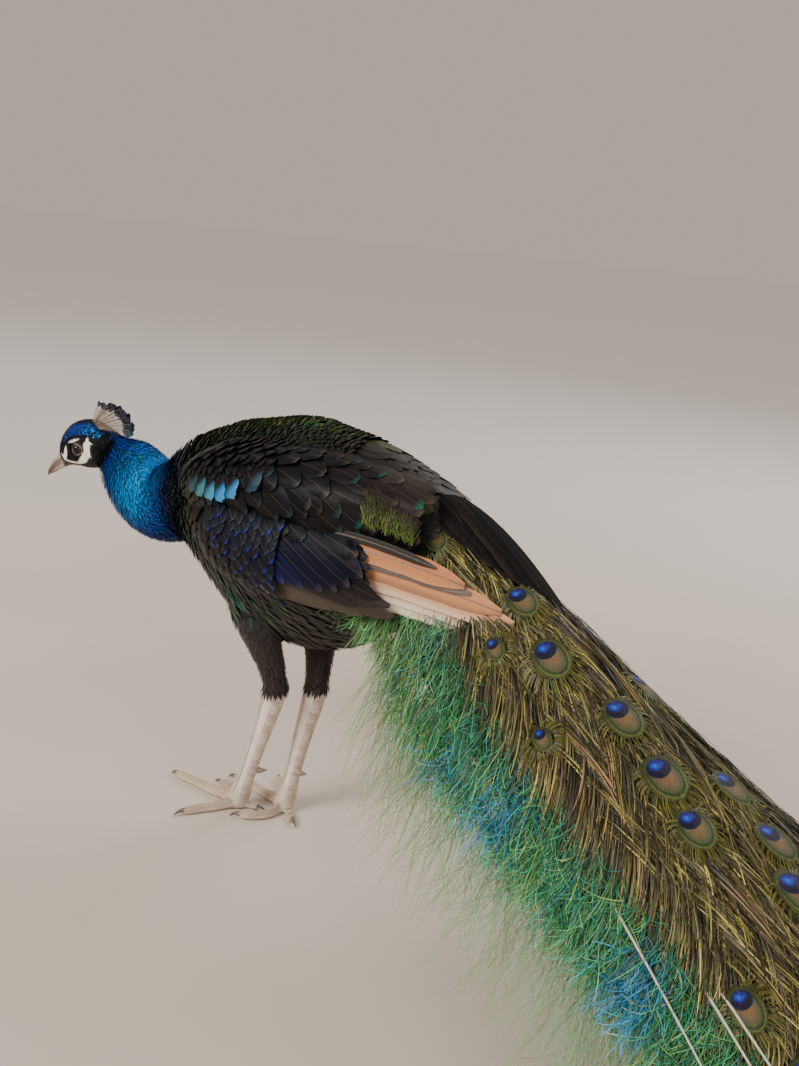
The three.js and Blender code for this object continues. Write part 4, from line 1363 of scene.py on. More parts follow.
def add_claws():
    """Curved dark claws on every toe, and a spur behind each shank."""
    material = horn_material("claw_horn", 0.45, 0.35)
    for name, leg in LEGS.items():
        parts = []
        for toe, route in leg["toes"].items():
            radius = TOE_RADIUS * TOE_SHARES[toe]
            end, onward = toe_end(route)
            nail = end - onward * (CLAW_LENGTH + 1.5)
            low = radius * TOE_LOW
            claw = dict(
                path=[[*nail, low + 0.6], [*(nail + onward * 5), low + 1.5],
                      [*(nail + onward * 10), low + 0.6], [*(end + onward * 0.3), 0.9]],
                half=[radius * 0.62, radius * 0.5, radius * 0.32, 0.35],
                above=[radius * 0.6, radius * 0.55, radius * 0.36, 0.4],
                below=[radius * 0.6, radius * 0.5, radius * 0.3, 0.35],
                side=[-onward[1], onward[0], 0],
            )
            rings = loft_rings(claw, 16, 14)
            rings[..., 2] = np.maximum(rings[..., 2], 0.15)
            parts.append((rings, colour("8a7a6b"), colour("3d342f")))
        root = np.array(leg["tarsus"][3], float) + [4, -leg["sign"] * 2, 6]
        tip = root + [SPUR_LENGTH, -leg["sign"] * 3, 3]
        middle = (root + tip) / 2 + [0, 0, -1]
        radii = [4.5, 3.2, 0.4]
        spur = dict(path=[root, middle, tip], half=radii, above=radii, below=radii, side=[0, 1, 0])
        parts.append((loft_rings(spur, 14, 16), colour("c4ae9b"), colour("5a4b42")))
        points, faces = joined((rings.reshape(-1, 3), ring_faces(*rings.shape[:2])) for rings, _, _ in parts)
        tints = [blended(tint_root, tint_tip, np.repeat(np.linspace(0, 1, len(rings)), rings.shape[1]))
                 for rings, tint_root, tint_tip in parts]
        piece = make_object(f"claws_{name}", points, faces, material, np.concatenate(tints))
        finish_piece(piece, "horn")


# ---------------------------------------------------------------------------------------------------------
# Wings
# ---------------------------------------------------------------------------------------------------------

WING_HANG = dict(start=0, end=280, drop=44, inward=16)
COVERTS = dict(
    path=[[-88, 46, 370], [-52, 68, 380], [0, 81, 386], [60, 85, 389], [120, 80, 390], [175, 67, 386],
          [228, 52, 374]],
    half=[18, 46, 62, 66, 62, 44, 8], thick=[8, 12, 12, 11, 10, 8, 3], cup=[8, 32, 58, 68, 60, 34, 6],
    face=[0, 1, 0.4],
)
SECONDARIES = dict(
    path=[[-60, 64, 352], [-16, 83, 332], [40, 91, 319], [100, 92, 317], [155, 90, 314], [206, 86, 300]],
    half=[18, 44, 50, 44, 33, 6], thick=[8, 10, 9, 8, 6, 2.5], cup=[4, 14, 18, 14, 8, 1], face=[0, 1, -0.12],
)
TERTIALS = dict(
    path=[[112, 36, 420], [160, 38, 396], [212, 44, 358], [260, 54, 322], [306, 66, 286]],
    half=[18, 26, 26, 18, 3], thick=[4, 5, 5, 4, 1.5], cup=[8, 10, 8, 4, 0], face=[0.35, 0.55, 0.8],
)


def hang(sign, points):
    """Moves points of the left wing (with positive Y) to their own side; the right wing hangs lower."""
    points = np.array(points, float)
    if sign == RIGHT:
        share = smooth_step(WING_HANG["start"], WING_HANG["end"], points[..., 0])
        points[..., 1] -= share * WING_HANG["inward"]
        points[..., 2] -= share * WING_HANG["drop"]
    points[..., 1] *= sign
    return points


def sided(shape, sign, tertial=False):
    """A wing blade on one side of the body."""
    path = hang(sign, shape["path"]) if not tertial else np.array(shape["path"], float) * [1, sign, 1]
    return dict(shape, path=path, face=np.array(shape["face"]) * [1, sign, 1])


def blade_frame(shape, t):
    """Middle points of a blade, and the ways across it and out of its face."""
    centre = spline(shape["path"], t)
    along = heading(shape["path"], t)
    across = unit(np.cross(along, np.broadcast_to(shape["face"], along.shape)))
    return centre, across, unit(np.cross(across, along))


def blade_rings(shape, steps, sides, grow=0.0, floor=None, until=1.0):
    """The closed blade itself, a little thinner or thicker by grow."""
    t = np.linspace(0, until, steps + 1)
    turn = np.linspace(0, 2 * np.pi, sides, endpoint=False)
    centre, across, normal = blade_frame(shape, t)
    width = spline(shape["half"], t)[:, None]
    sideways = np.maximum(width + grow, 0.4) * np.cos(turn)
    thick = np.maximum(spline(shape["thick"], t)[:, None] + grow, 0.25)
    height = thick * np.sin(turn) - spline(shape["cup"], t)[:, None] * (sideways / width) ** 2
    rings = centre[:, None] + across[:, None] * sideways[..., None] + normal[:, None] * height[..., None]
    if floor is not None:
        rings[..., 2] = np.maximum(rings[..., 2], floor)
    return rings


def blade_sheet(shape, reach=0.97, beyond=90.0, steps=40, columns=25, until=1.0):
    """Points and quads of the blade's outer face, carried on past its far end."""
    t = np.linspace(0, until, steps)
    share = np.linspace(-reach, reach, columns)
    centre, across, normal = blade_frame(shape, t)
    half = spline(shape["half"], t)
    widest = np.maximum.accumulate(half)
    late = t > 0.7
    kept = np.where(late, np.maximum(half, 0.72 * widest), half)[:, None]
    sideways = kept * share
    cup = spline(shape["cup"], t)[:, None] * (sideways / np.maximum(half, 0.6 * widest)[:, None]) ** 2
    height = spline(shape["thick"], t)[:, None] * np.sqrt(1 - share**2) - cup
    points = centre[:, None] + across[:, None] * sideways[..., None] + normal[:, None] * height[..., None]
    onward = unit(points[-1] - points[-4])
    extra = points[-1][None] + onward[None] * np.linspace(6, beyond, 12)[:, None, None]
    points = np.concatenate([points, extra])
    return points.reshape(-1, 3), grid_faces(len(points), columns)


def add_bed(name, rings, material, tint, axes, slot, *nodes):
    """The closed dark body under the feathers; axes are those of its plumage map."""
    points = rings.reshape(-1, 3)
    bed = make_object(name, points, ring_faces(*rings.shape[:2]), material,
                      np.broadcast_to(tint, points.shape), uvs={"Vane": points[:, axes]})
    finish_piece(bed, slot, *nodes)


def guide_from(*sheets):
    """One search tree over several sheets."""
    points, faces = joined(sheets)
    return BVHTree.FromPolygons([Vector(point) for point in points], [tuple(quad) for quad in faces.tolist()])


def relaxed(lines, passes=3):
    """Centre lines with their small steps smoothed away."""
    lines = lines.copy()
    for _ in range(passes):
        lines[:, 1:-1] = lines[:, 1:-1] * 0.5 + 0.25 * (lines[:, :-2] + lines[:, 2:])
    return lines


class Wing:
    """Feathers of one wing, laid out in the side view: X along the bird and Z up, as on the left side."""

    def __init__(self, name, sign):
        self.name, self.sign = name, sign
        self.coverts = sided(COVERTS, sign)
        self.secondaries = sided(SECONDARIES, sign)
        self.guide = guide_from(blade_sheet(self.coverts), blade_sheet(self.secondaries, reach=0.9))
        self.lower = guide_from(blade_sheet(self.secondaries, reach=0.95))
        self.outward = Vector((0, sign, 0.35))
        self.coat = Coat(f"wing_{name}_feathers", WING_PLUMAGE, "dark_flight_feathers")
        self.serial = 0

    def lay(self, roots, tips, half, tint, rows=9, columns=7, side=88.0, level=(-2.0, 1.2), fray=0.05,
            below=False, **style):
        """One feather from each root (x, z) to each tip (x, z); below is for those of the lower blade."""
        guide = self.lower if below else self.guide
        roots, tips = np.atleast_2d(np.array(roots, float)), np.atleast_2d(np.array(tips, float))
        count = len(roots)
        side = np.broadcast_to(np.asarray(side, float), (count,))
        start = hang(self.sign, np.stack([roots[:, 0], side, roots[:, 1]], -1))
        end = hang(self.sign, np.stack([tips[:, 0], side, tips[:, 1]], -1))
        length = np.linalg.norm(end - start, axis=1)
        centres, normals = creep(guide, start, unit(end - start), length, rows, self.outward)
        centres, normals = relaxed(centres), unit(relaxed(normals))
        tint = np.broadcast_to(np.asarray(tint, float), (count, 3))
        self.serial += 1
        place = np.stack([0.02 + 0.96 * np.clip((roots[:, 0] + 100) / 330, 0, 1),
                          0.02 + 0.96 * np.clip((roots[:, 1] - 260) / 190, 0, 1)], -1)
        self.coat.add(centres, normals, half, tint, columns=columns, lift=level, guide=guide, fray=fray,
                      outward=self.outward, bake=place, patch=0.02, seed=100 + self.serial, **style)


def staggered(x_range, z_range, x_gap, z_gap, seed, jitter=0.22):
    """Places in staggered rows in the side view."""
    xs = np.arange(x_range[0], x_range[1], x_gap)
    places = []
    for i, x in enumerate(xs):
        zs = np.arange(z_range[0] + 0.5 * z_gap * (i % 2), z_range[1], z_gap)
        places.append(np.stack([np.full(len(zs), x), zs], -1))
    places = np.concatenate(places)
    random = np.random.default_rng(seed)
    return places + random.uniform(-jitter, jitter, places.shape) * [x_gap, z_gap]


def toward(roots, angle, length):
    """Tips at an angle (in degrees below the rearward way) and a distance from each root."""
    angle = np.radians(angle)
    return roots + np.stack([np.cos(angle) * length, -np.sin(angle) * length], -1)


WING_PLUMAGE = plumage("wing_plumage", 0.1, 0.38, contrast=0.22, barb=1.5, slant=0.9, rachis=0.4, shaft=0.18,
                       specular=0.12)
FLIGHT_PLUMAGE = plumage("flight_plumage", 0.0, 0.48, contrast=0.13, barb=1.3, slant=0.75, rachis=0.7,
                         shaft=0.5)


def top_of_wing(x):
    """Height of the wing's upper edge in the side view."""
    return np.interp(x, [-90, -60, -20, 40, 110, 160, 215], [392, 412, 424, 428, 424, 410, 392])


def bottom_of_wing(x):
    """Height of its lower edge."""
    return np.interp(x, [-90, -60, -20, 20, 60, 120, 170, 206], [352, 322, 302, 288, 282, 280, 286, 300])


def wing_front(x):
    """Height below which the front of the wing is hidden by brown-black feathers like those of the breast."""
    return np.interp(x, [-60, -36, -16, 1, 21, 66], [398, 366, 344, 326, 309, 290])


def add_flank_curls(wing):
    """Green gold curls of the lower back that hang over the folded wing, above the chestnut feathers."""
    random = np.random.default_rng(145)
    number = 620
    x = 205 - 52 * random.uniform(0, 1, number) ** 1.4
    row = random.uniform(0, 1, number)
    foot = np.interp(x, [140, 160, 185, 200, 215, 236], [378, 372, 368, 364, 361, 352])
    tips = np.stack([x, foot + 24 * row * smooth_step(240, 190, x)], -1)
    angle = random.normal(74, 26, number)
    roots = tips - toward(np.zeros((number, 2)), angle, random.uniform(7, 15, number))
    pick = hashed(number, 146)
    tint = blended(GREEN_GOLD * 0.6, LEAF_GREEN * 0.3, smooth_step(0.6, 0.9, pick))
    tint = tint * (0.2 + 0.8 * hashed(number, 147) ** 2)[:, None] * (1 - 0.8 * row)[:, None]
    wing.lay(roots, tips, 0.55, tint, rows=6, columns=2, outline=STRAND, side=80.0, camber=0.0,
             level=(3.0, 8.5), fray=0.0, root_shade=0.4, tip=tint * 2.2, tip_from=0.5)


def add_wing(name, sign):
    """All feathers of a folded wing but the primaries; gives back a guide that keeps the train off it."""
    wing = Wing(name, sign)
    dark = blended(BLACK * 0.5, NAVY * 0.2, [0.35])[0]
    # Secondaries, from the lowest and longest to the uppermost
    secondaries = np.array([
        [2, 309, 128, 282], [12, 312, 166, 287], [26, 314, 200, 297], [38, 322, 196, 306],
        [44, 328, 181, 302], [48, 335, 160, 293], [56, 342, 184, 306], [66, 348, 174, 318],
        [78, 355, 170, 330], [92, 361, 165, 343], [104, 367, 156, 354],
    ])
    browner = np.linspace(1, 0, len(secondaries))
    tint = blended(dark, BROWN_GREY, browner**2.2 * 0.8)
    level = np.linspace(0.2, 3.4, len(secondaries))
    wing.lay(secondaries[:, :2], secondaries[:, 2:], 15.0, tint, rows=13, outline=LONG_ROUND, camber=0.06,
             level=(level - 3.5, level), edge=1.45, skew=0.12, root_shade=0.5, below=True)
    # Greater coverts, long and blue-black, glossy violet towards the wrist
    greater = np.array([[-14, 338, 44, 298], [-2, 345, 62, 298], [12, 350, 82, 298], [24, 353, 102, 297],
                        [38, 354, 123, 298], [52, 356, 140, 303], [66, 358, 153, 310], [82, 360, 165, 321],
                        [104, 358, 157, 342]])
    order = np.linspace(0, 1, len(greater))
    gloss = np.interp(order, [0, 0.12, 0.5, 1], [0.7, 0.55, 0.1, 0.0])
    tint = blended(blended(dark, NAVY * 0.4, 0.5 * (1 - order)), VIOLET * 0.3, gloss)
    rise = mix(3.6, 6.2, order)
    wing.lay(greater[:, :2], greater[:, 2:], mix(10.5, 15.0, order), tint, rows=13, outline=LONG_ROUND,
             camber=0.1, level=(rise - 5.0, rise), edge=1.7, tip=blended(BROWN_GREY * 0.4, VIOLET, gloss),
             tip_from=0.92, below=True)
    # The alula, violet with a chestnut tip
    wing.lay([[-10, 335], [0, 341]], [[66, 289], [73, 294]], 6.5, [VIOLET * 0.35, NAVY * 0.6], rows=11,
             outline=POINTED_TIP, level=(-1, 7.4), tip=[CHESTNUT * 0.6, VIOLET * 0.9],
             tip_from=0.86, edge=1.9, below=True)
    # Median and lesser coverts in scaly rows with blue and violet margins
    roots = staggered((-78, 66), (296, 378), 8.5, 9.5, 111)
    front = bottom_of_wing(roots[:, 0])
    keep = (roots[:, 1] > front + 12) & (roots[:, 1] < 372 - 0.12 * roots[:, 0]) & (roots[:, 0] < 62)
    roots = roots[keep]
    speckle = hashed(len(roots), 112)
    rearward = smooth_step(-60, 60, roots[:, 0])
    tips = toward(roots, 52 - 0.12 * roots[:, 0] + 6 * (speckle - 0.5), mix(15, 22, rearward))
    margin = blended(VIOLET * 1.5, COBALT * 1.2, hashed(len(roots), 113))
    margin = blended(margin, colour("3a5260"), smooth_step(0.2, 0.4, hashed(len(roots), 114)))
    on_front = smooth_step(1, -5, roots[:, 1] - wing_front(roots[:, 0]))
    margin = blended(margin * 0.42, BLACK_BROWN * 0.8, on_front)
    tint = blended(blended(BLACK, NAVY, 0.3 * speckle) * 0.8, BLACK_BROWN * 0.45, on_front)
    half = mix(7.5, 9.5, rearward)
    lowered = (roots[:, 0] > -26) & (roots[:, 1] < 364)
    for group, level, below in ((~lowered, (-1.0, 4.0), False), (lowered, (3.0, 7.0), True)):
        wing.lay(roots[group], tips[group], half[group], tint[group], rows=8, camber=0.14, level=level,
                 edge=1.4, tip=margin[group], tip_from=0.86, below=below)
    # Scapulars: large, round and nearly black, with faint paler margins
    roots = staggered((-6, 176), (372, 436), 17, 13, 121)
    keep = (roots[:, 1] < top_of_wing(roots[:, 0]) + 4) & (roots[:, 1] > 374 - 0.08 * roots[:, 0])
    roots = roots[keep]
    speckle = hashed(len(roots), 122)
    tips = toward(roots, 36 - 0.08 * roots[:, 0] + 7 * (speckle - 0.5), 40 + 8 * speckle)
    high = smooth_step(395, 425, roots[:, 1])
    behind = smooth_step(60, 150, roots[:, 0])
    shade = blended(dark * 0.8, BROWN_GREY * 0.4, 0.12 * speckle + behind * (0.15 + 0.5 * high * speckle))
    glossy = blended(colour("2c4a58"), SEA_GREEN, behind) * 0.45
    rims = blended(BROWN_GREY * (0.2 + 0.5 * speckle)[:, None], glossy,
                   smooth_step(0.55, 0.7, hashed(len(roots), 123)))
    wing.lay(roots, tips, 13.0, shade, side=mix(84, 50, high), level=(-0.6, 4.4), edge=1.35, tip=rims,
             tip_from=0.9)
    # Velvety black shoulder
    roots = staggered((-96, 40), (366, 430), 8.0, 8.0, 131)
    keep = (roots[:, 1] < top_of_wing(roots[:, 0]) + 2) & (roots[:, 1] > 376 - 0.06 * roots[:, 0])
    roots = roots[keep]
    speckle = hashed(len(roots), 132)
    tips = toward(roots, 42 + 8 * (speckle - 0.5), 21)
    high = smooth_step(395, 425, roots[:, 1])
    wing.lay(roots, tips, 8.0, blended(BLACK, dark, speckle * 0.5) * 0.8, side=mix(80, 46, high), rows=7,
             columns=5, level=(-0.4, 5.4), edge=1.15)
    # The row whose tips shine turquoise
    bright = np.array([[-62, 398, -41, 375], [-48, 397, -27, 370], [-34, 397, -12, 367], [-19, 397, 3, 366.5],
                       [-4, 398, 19, 371], [18, 403, 44, 381]])
    shine = [colour(code) for code in ("24454c", "3c7a82", "3b8cae", "2f8ed0", "3a86bd", "26404f")]
    wing.lay(bright[:, :2], bright[:, 2:], 13.5, BLACK * 0.7, rows=13, columns=11, camber=0.14,
             level=(0.6, 6.6), edge=1.7, tip=shine, tip_from=0.64, fray=0.06)
    # Long inner feathers over the root of the train, glossed with green
    inner = np.array([[100, 394, 160, 384], [112, 403, 182, 392], [126, 411, 203, 396], [138, 418, 210, 404],
                      [150, 424, 206, 413]])
    tint = blended(BLACK * 0.6, BROWN_GREY * 0.45, np.linspace(0.1, 0.6, len(inner)))
    wing.lay(inner[:, :2], inner[:, 2:], 13.0, tint, side=np.linspace(78, 48, len(inner)), rows=11,
             outline=LONG_ROUND, camber=0.1, level=(-0.5, 5.2), edge=1.8,
             tip=[SEA_GREEN * 0.55, BROWN_GREY * 0.5, SEA_GREEN * 0.5, BROWN_GREY * 0.5, dark], tip_from=0.9)
    if sign == LEFT:
        add_flank_curls(wing)
    wing.coat.build()
    beds = ((wing.coverts, f"wing_{name}_coverts", 0.7), (wing.secondaries, f"wing_{name}_secondaries", 0.62))
    for shape, node, until in beds:
        rings = blade_rings(shape, 24, 28, grow=-3.5, until=until)
        add_bed(node + "_bed", rings, WING_PLUMAGE, BLACK * 0.7, [2, 0], "dark_flight_feathers", node)
    return guide_from(blade_sheet(wing.coverts, reach=0.85, beyond=6.0, until=0.82))


# Chestnut feathers from the upper edge down: height of root, X and Z of tip, half width, colour, lower margin
PRIMARIES = (
    # The uppermost, narrow and nearly black, stands for the shadow along the top of the chestnut feathers:
    # painted shadow
    (359, 236, 351, 4.5, colour("1b1613"), colour("171211")),
    (349, 264, 341, 11.0, colour("c27c4d"), colour("c98a5c")),
    (340, 270, 335, 8.5, colour("7c6c66"), colour("5d504b")),
    (336, 300, 325, 11.5, colour("c9885a"), colour("a06e4e")),
    (327, 312, 316, 13.0, colour("dba07a"), colour("e6c4aa")),
    (319, 314, 307, 12.0, colour("e0ac88"), CREAM),
    (311, 302, 300, 11.0, colour("e2c3a8"), CREAM),
    (305, 284, 298, 9.0, colour("d2b59c"), CREAM * 0.95),
)


def add_primaries(name, sign):
    """Chestnut flight feathers, fanned, each with its shaft and a solid vane."""
    coat = Coat(f"primaries_{name}", FLIGHT_PLUMAGE, "flight_feathers")
    number = len(PRIMARIES)
    t = np.linspace(0, 1, number)
    high, tip_x, tip_z, half = np.array([feather[:4] for feather in PRIMARIES], float).T
    root = np.stack([mix(96, 92, t), 85 - 2 * t, high], -1)
    tip = np.stack([tip_x, mix(88, 79, t) - 1.0, tip_z], -1)
    share = np.linspace(0, 1, 19)
    lines = root[:, None] * (1 - share)[None, :, None] + tip[:, None] * share[None, :, None]
    lines[..., 2] += 5.0 * np.sin(np.pi * share)[None]
    lines[..., 1] += np.linspace(1.8, -1.8, number)[:, None] + 1.5 * np.sin(np.pi * share)[None]
    lines = hang(sign, lines)
    normal = np.broadcast_to(unit([0.02, sign, 0.12]), lines.shape)
    for i, feather in enumerate(PRIMARIES):
        place = np.array([[0.5, (i + 0.5) / number]])
        # The uppermost feather's upper margin is dark as painted shadow
        upper = BLACK_BROWN if i == 0 else feather[4]
        margins = (feather[5], upper) if sign == LEFT else (upper, feather[5])
        coat.add(lines[i:i + 1], normal[i:i + 1], half[i], feather[4], outline=BLUNT_ROUND, columns=13,
                 lift=(0, 0), camber=0.05, fray=0.03, bake=place, patch=(0.9 / number, 0.94), root_shade=0.95,
                 seed=142 + i, skew=0.2, margins=margins, tip=blended(feather[4], BROWN_GREY, [0.4])[0],
                 tip_from=0.94)
    coat.build(f"wing_{name}_primaries")
    sides = 6
    shade = np.tile(blended(colour("b39a86"), colour("7a675a"), np.repeat(share, sides)), (number, 1, 1))
    # The uppermost feather's shaft is darkened as painted shadow
    shade[0] *= 0.3
    add_tubes(f"primary_shafts_{name}", lines + normal * 0.35, mix(1.25, 0.3, share), shade,
              "flight_feathers", sides=sides)


# Long inner feathers of the right wing over the train: distance and share of its half width, root and tip
OVER_TRAIN = (
    (-20, 0.62, 84, 0.6), (-30, 0.5, 112, 0.46), (-40, 0.36, 134, 0.34), (-46, 0.26, 152, 0.22),
    (-52, 0.16, 158, 0.1), (-56, 0.1, 146, 0.0), (-60, 0.04, 128, -0.09), (-64, -0.02, 108, -0.16),
    (-70, -0.1, 84, -0.22), (-74, -0.16, 60, -0.28), (-78, -0.22, 34, -0.34),
)
LONG_PLUMAGE = plumage("long_black_feathers", 0.0, 0.8, contrast=0.5, barb=1.5, slant=0.9, rachis=0.4,
                       shaft=0.15, specular=0.06)


def add_over_train():
    """Black feathers with faint grey edges that hide the root of the train and point along it."""
    coat = Coat("wing_right_long_feathers", LONG_PLUMAGE, "dark_flight_feathers")
    place = np.array(OVER_TRAIN, float)
    number = len(place)
    share = np.linspace(0, 1, 15)
    path_d = mix(place[:, :1], place[:, 2:3], share)
    path_s = mix(place[:, 1:2], place[:, 3:4], share)
    level = np.linspace(0, 3.0, number)[:, None]
    arch = (6.0 + hashed(number, 163, 0, 3))[:, None] * np.sin(np.pi * share)
    centres, normals = on_train(path_d, path_s, 8.0 - 3.0 * share + level * (1 - 0.5 * share) + arch)
    tint = blended(BLACK * 0.5, BROWN_GREY * 0.3, 0.35 * hashed(number, 161))
    spot = np.stack([0.05 + 0.9 * np.linspace(0, 1, number), np.full(number, 0.5)], -1)
    coat.add(centres, normals, 13.0, tint, outline=LONG_ROUND, columns=9, camber=0.22, fray=0.05, lift=(0, 0),
             edge=2.4, bake=spot, patch=(0.09, 0.8), seed=162, root_shade=0.7, tip=BROWN_GREY * 0.35,
             tip_from=0.95)
    coat.build()
    return place


def add_tertials():
    """Long black feathers of the right wing, which lie over the root of the train and end in a point."""
    shape = sided(TERTIALS, RIGHT, tertial=True)
    guide = guide_from(blade_sheet(shape, beyond=30, steps=30, columns=13))
    coat = Coat("wing_right_tertial_feathers", WING_PLUMAGE, "dark_flight_feathers")
    last = np.array([1.0, 0.985, 0.96, 0.92, 0.88, 0.84, 0.78, 0.7, 0.62, 0.52, 0.46, 0.42])
    first = last * 0.55 - 0.22
    across = np.array([0.0, 0.25, -0.25, 0.45, -0.55, -0.3, 0.62, -0.75, 0.3, -0.6, 0.1, 0.75])
    number = len(last)

    def on_blade(t, share):
        """Points just over the blade, at stations and shares of its half width."""
        centre, side, normal = blade_frame(shape, t)
        return centre + side * (spline(shape["half"], t) * share)[:, None] + normal * 5

    start, end = on_blade(first, across), on_blade(last, across * 0.6)
    length = np.linalg.norm(end - start, axis=1)
    centres, normals = creep(guide, start, unit(end - start), length, 12, Vector((0.3, 0.5, 0.8)))
    speckle = hashed(number, 151)
    tint = blended(BLACK, BROWN_GREY * 0.6, 0.1 + 0.4 * speckle)
    place = np.stack([0.05 + 0.9 * np.linspace(0, 1, number), np.full(number, 0.5)], -1)
    coat.add(relaxed(centres), normals, 11.0, tint, outline=LONG_ROUND, columns=7, camber=0.1, fray=0.05,
             lift=(-1.5, np.linspace(1.2, 4.4, number)), edge=1.6, bake=place, patch=0.03, seed=152,
             root_shade=0.8)
    coat.build()
    add_bed("wing_right_tertials_bed", blade_rings(shape, 20, 20, grow=-1.5, until=0.97), WING_PLUMAGE,
            BLACK * 0.8, [2, 0], "dark_flight_feathers", "wing_right_tertials")
    return guide


# ---------------------------------------------------------------------------------------------------------
# Train and tail
# ---------------------------------------------------------------------------------------------------------

TRAIN_LENGTH = 1240.0
TRAIN_SWING = np.radians(18.4)
TRAIN_HEIGHTS = [362, 314, 260, 207, 158, 112, 68, 30, 10, 5, 2.5]
TRAIN_HALF = [70, 88, 108, 128, 144, 155, 164, 168, 162, 138, 64]
TRAIN_THICK = [30, 29, 25, 22, 19, 17, 15, 13, 10, 6, 3]
TRAIN_CUP = [66, 100, 86, 66, 62, 62, 50, 24, 6, 2, 0]
TRAIN_END_HALF = 142.0
TRAIN_DEPTH = 8.0
UP = np.array([0, 0, 1.0])
TRAIN_ALONG = np.array([np.cos(TRAIN_SWING), -np.sin(TRAIN_SWING), 0])
TRAIN_ACROSS = np.array([np.sin(TRAIN_SWING), np.cos(TRAIN_SWING), 0])
TAIL_HEIGHTS = [322, 282, 242, 204, 172]
FLOOR_GAP = 0.4

# Eyed feathers of the near side: distance along the train, share of its half width, width of the dark heart
NEAR_EYES = [
    (30, -0.455, 15), (126, -0.23, 18), (180, -0.35, 21), (252, -0.24, 21), (306, -0.30, 22), (336, 0.06, 19),
    (348, -0.37, 19), (384, 0.0, 20), (420, -0.16, 22), (144, -0.57, 12), (228, -0.67, 11),
]


def train_point(d, o, h):
    """Points at distances along the train, beside its middle line and over the floor."""
    d, o, h = np.broadcast_arrays(np.asarray(d, float), o, h)
    start = np.array([185.0, -1.0, 0.0])
    return start + TRAIN_ALONG * d[..., None] + TRAIN_ACROSS * o[..., None] + UP * h[..., None]


TRAIN = dict(
    path=train_point(np.linspace(0, TRAIN_LENGTH, 11), 0, TRAIN_HEIGHTS), half=TRAIN_HALF, thick=TRAIN_THICK,
    cup=TRAIN_CUP, face=[0, 0, 1],
)
TAIL = dict(path=train_point(30 + 95 * np.arange(5), 0, TAIL_HEIGHTS), half=[26, 44, 56, 62, 40],
            thick=[9, 8, 6, 4, 1.5], cup=[16, 26, 30, 28, 14], face=[0, 0, 1])


def train_half(d):
    """Half width over which the feathers are spread; it stays wide at the loose far end."""
    half = spline(TRAIN_HALF, np.clip(d / TRAIN_LENGTH, 0, 1))
    return np.where(d > 900, np.maximum(half, TRAIN_END_HALF), half)


def on_train(d, s, lift):
    """Points and normals over the train at distances d and shares s of its half width (left is minus)."""
    d, s, lift = (np.asarray(v, float) for v in np.broadcast_arrays(d, s, lift))
    lift = lift - TRAIN_DEPTH * smooth_step(1150, 500, d)
    t = np.clip(d / TRAIN_LENGTH, 0, 1)
    before, after = np.clip(t - 0.01, 0, 1), np.clip(t + 0.01, 0, 1)
    slope = (spline(TRAIN_HEIGHTS, after) - spline(TRAIN_HEIGHTS, before)) / ((after - before) * TRAIN_LENGTH)
    along = unit(TRAIN_ALONG + UP * slope[..., None])
    upward = unit(UP - along * along[..., 2:3])
    half, cup, thick = train_half(d), spline(TRAIN_CUP, t), spline(TRAIN_THICK, t)
    inside = np.sqrt(np.clip(1 - s**2, 0, 1))
    height = thick * inside - cup * s**2
    fall = -2 * cup * s / half - thick * s / np.maximum(inside, 0.35) / half
    normal = unit(upward - TRAIN_ACROSS * fall[..., None])
    point = train_point(d, s * half, spline(TRAIN_HEIGHTS, t))
    point = point + upward * height[..., None] + normal * lift[..., None]
    point[..., 2] = np.maximum(point[..., 2], FLOOR_GAP + 0.3 * np.clip(lift, 0, 12))
    return point, normal


def drift(d, s, side, turn, length, rows):
    """Distances and shares along strands that turn outward from the train's own way by angles in degrees."""
    path_d, path_s = np.empty((rows, len(d))), np.empty((rows, len(d)))
    d, s = d.astype(float).copy(), s.astype(float).copy()
    step = length / (rows - 1)
    for k in range(rows):
        path_d[k], path_s[k] = d, s
        angle = np.radians(mix(turn[0], turn[1], smooth_step(0, 1, k / (rows - 1))))
        half = train_half(d)
        fall = 2 * spline(TRAIN_CUP, np.clip(d / TRAIN_LENGTH, 0, 1)) * s / half
        d = d + np.cos(angle) * step
        s = s + side * np.sin(angle) * step / (half * np.sqrt(1 + fall**2))
    return path_d.T, path_s.T


def eyed_feathers():
    """Distance, share and heart width for every eyed feather, the near ones first."""
    listed = list(NEAR_EYES)
    random = np.random.default_rng(201)
    d = 40.0
    row = 0
    while d < 1165:
        half = train_half(np.array(d))
        gap = mix(46, 64, smooth_step(0, 600, d))
        shares = np.linspace(-0.8, 0.8, 5 if row % 2 else 4) if d > 440 else (0.25, 0.55, 0.85)[row % 2:]
        for s in shares:
            place_d, place_s = d + random.uniform(-12, 12), s + random.uniform(-0.07, 0.07)
            heart = mix(16, 20.5, smooth_step(0, 400, d)) * random.uniform(0.88, 1.08) * (1 - 0.2 * abs(s))
            gaps = [np.hypot(eye[0] - place_d, (eye[1] - place_s) * half) for eye in listed]
            if min(gaps) >= 40:
                listed.append((place_d, place_s, heart))
        d += gap
        row += 1
    for spread in np.linspace(-1, 1, 7):
        listed.append((1214 - 60 * spread**2, spread * 0.96, 19.0))
    return np.array(listed)


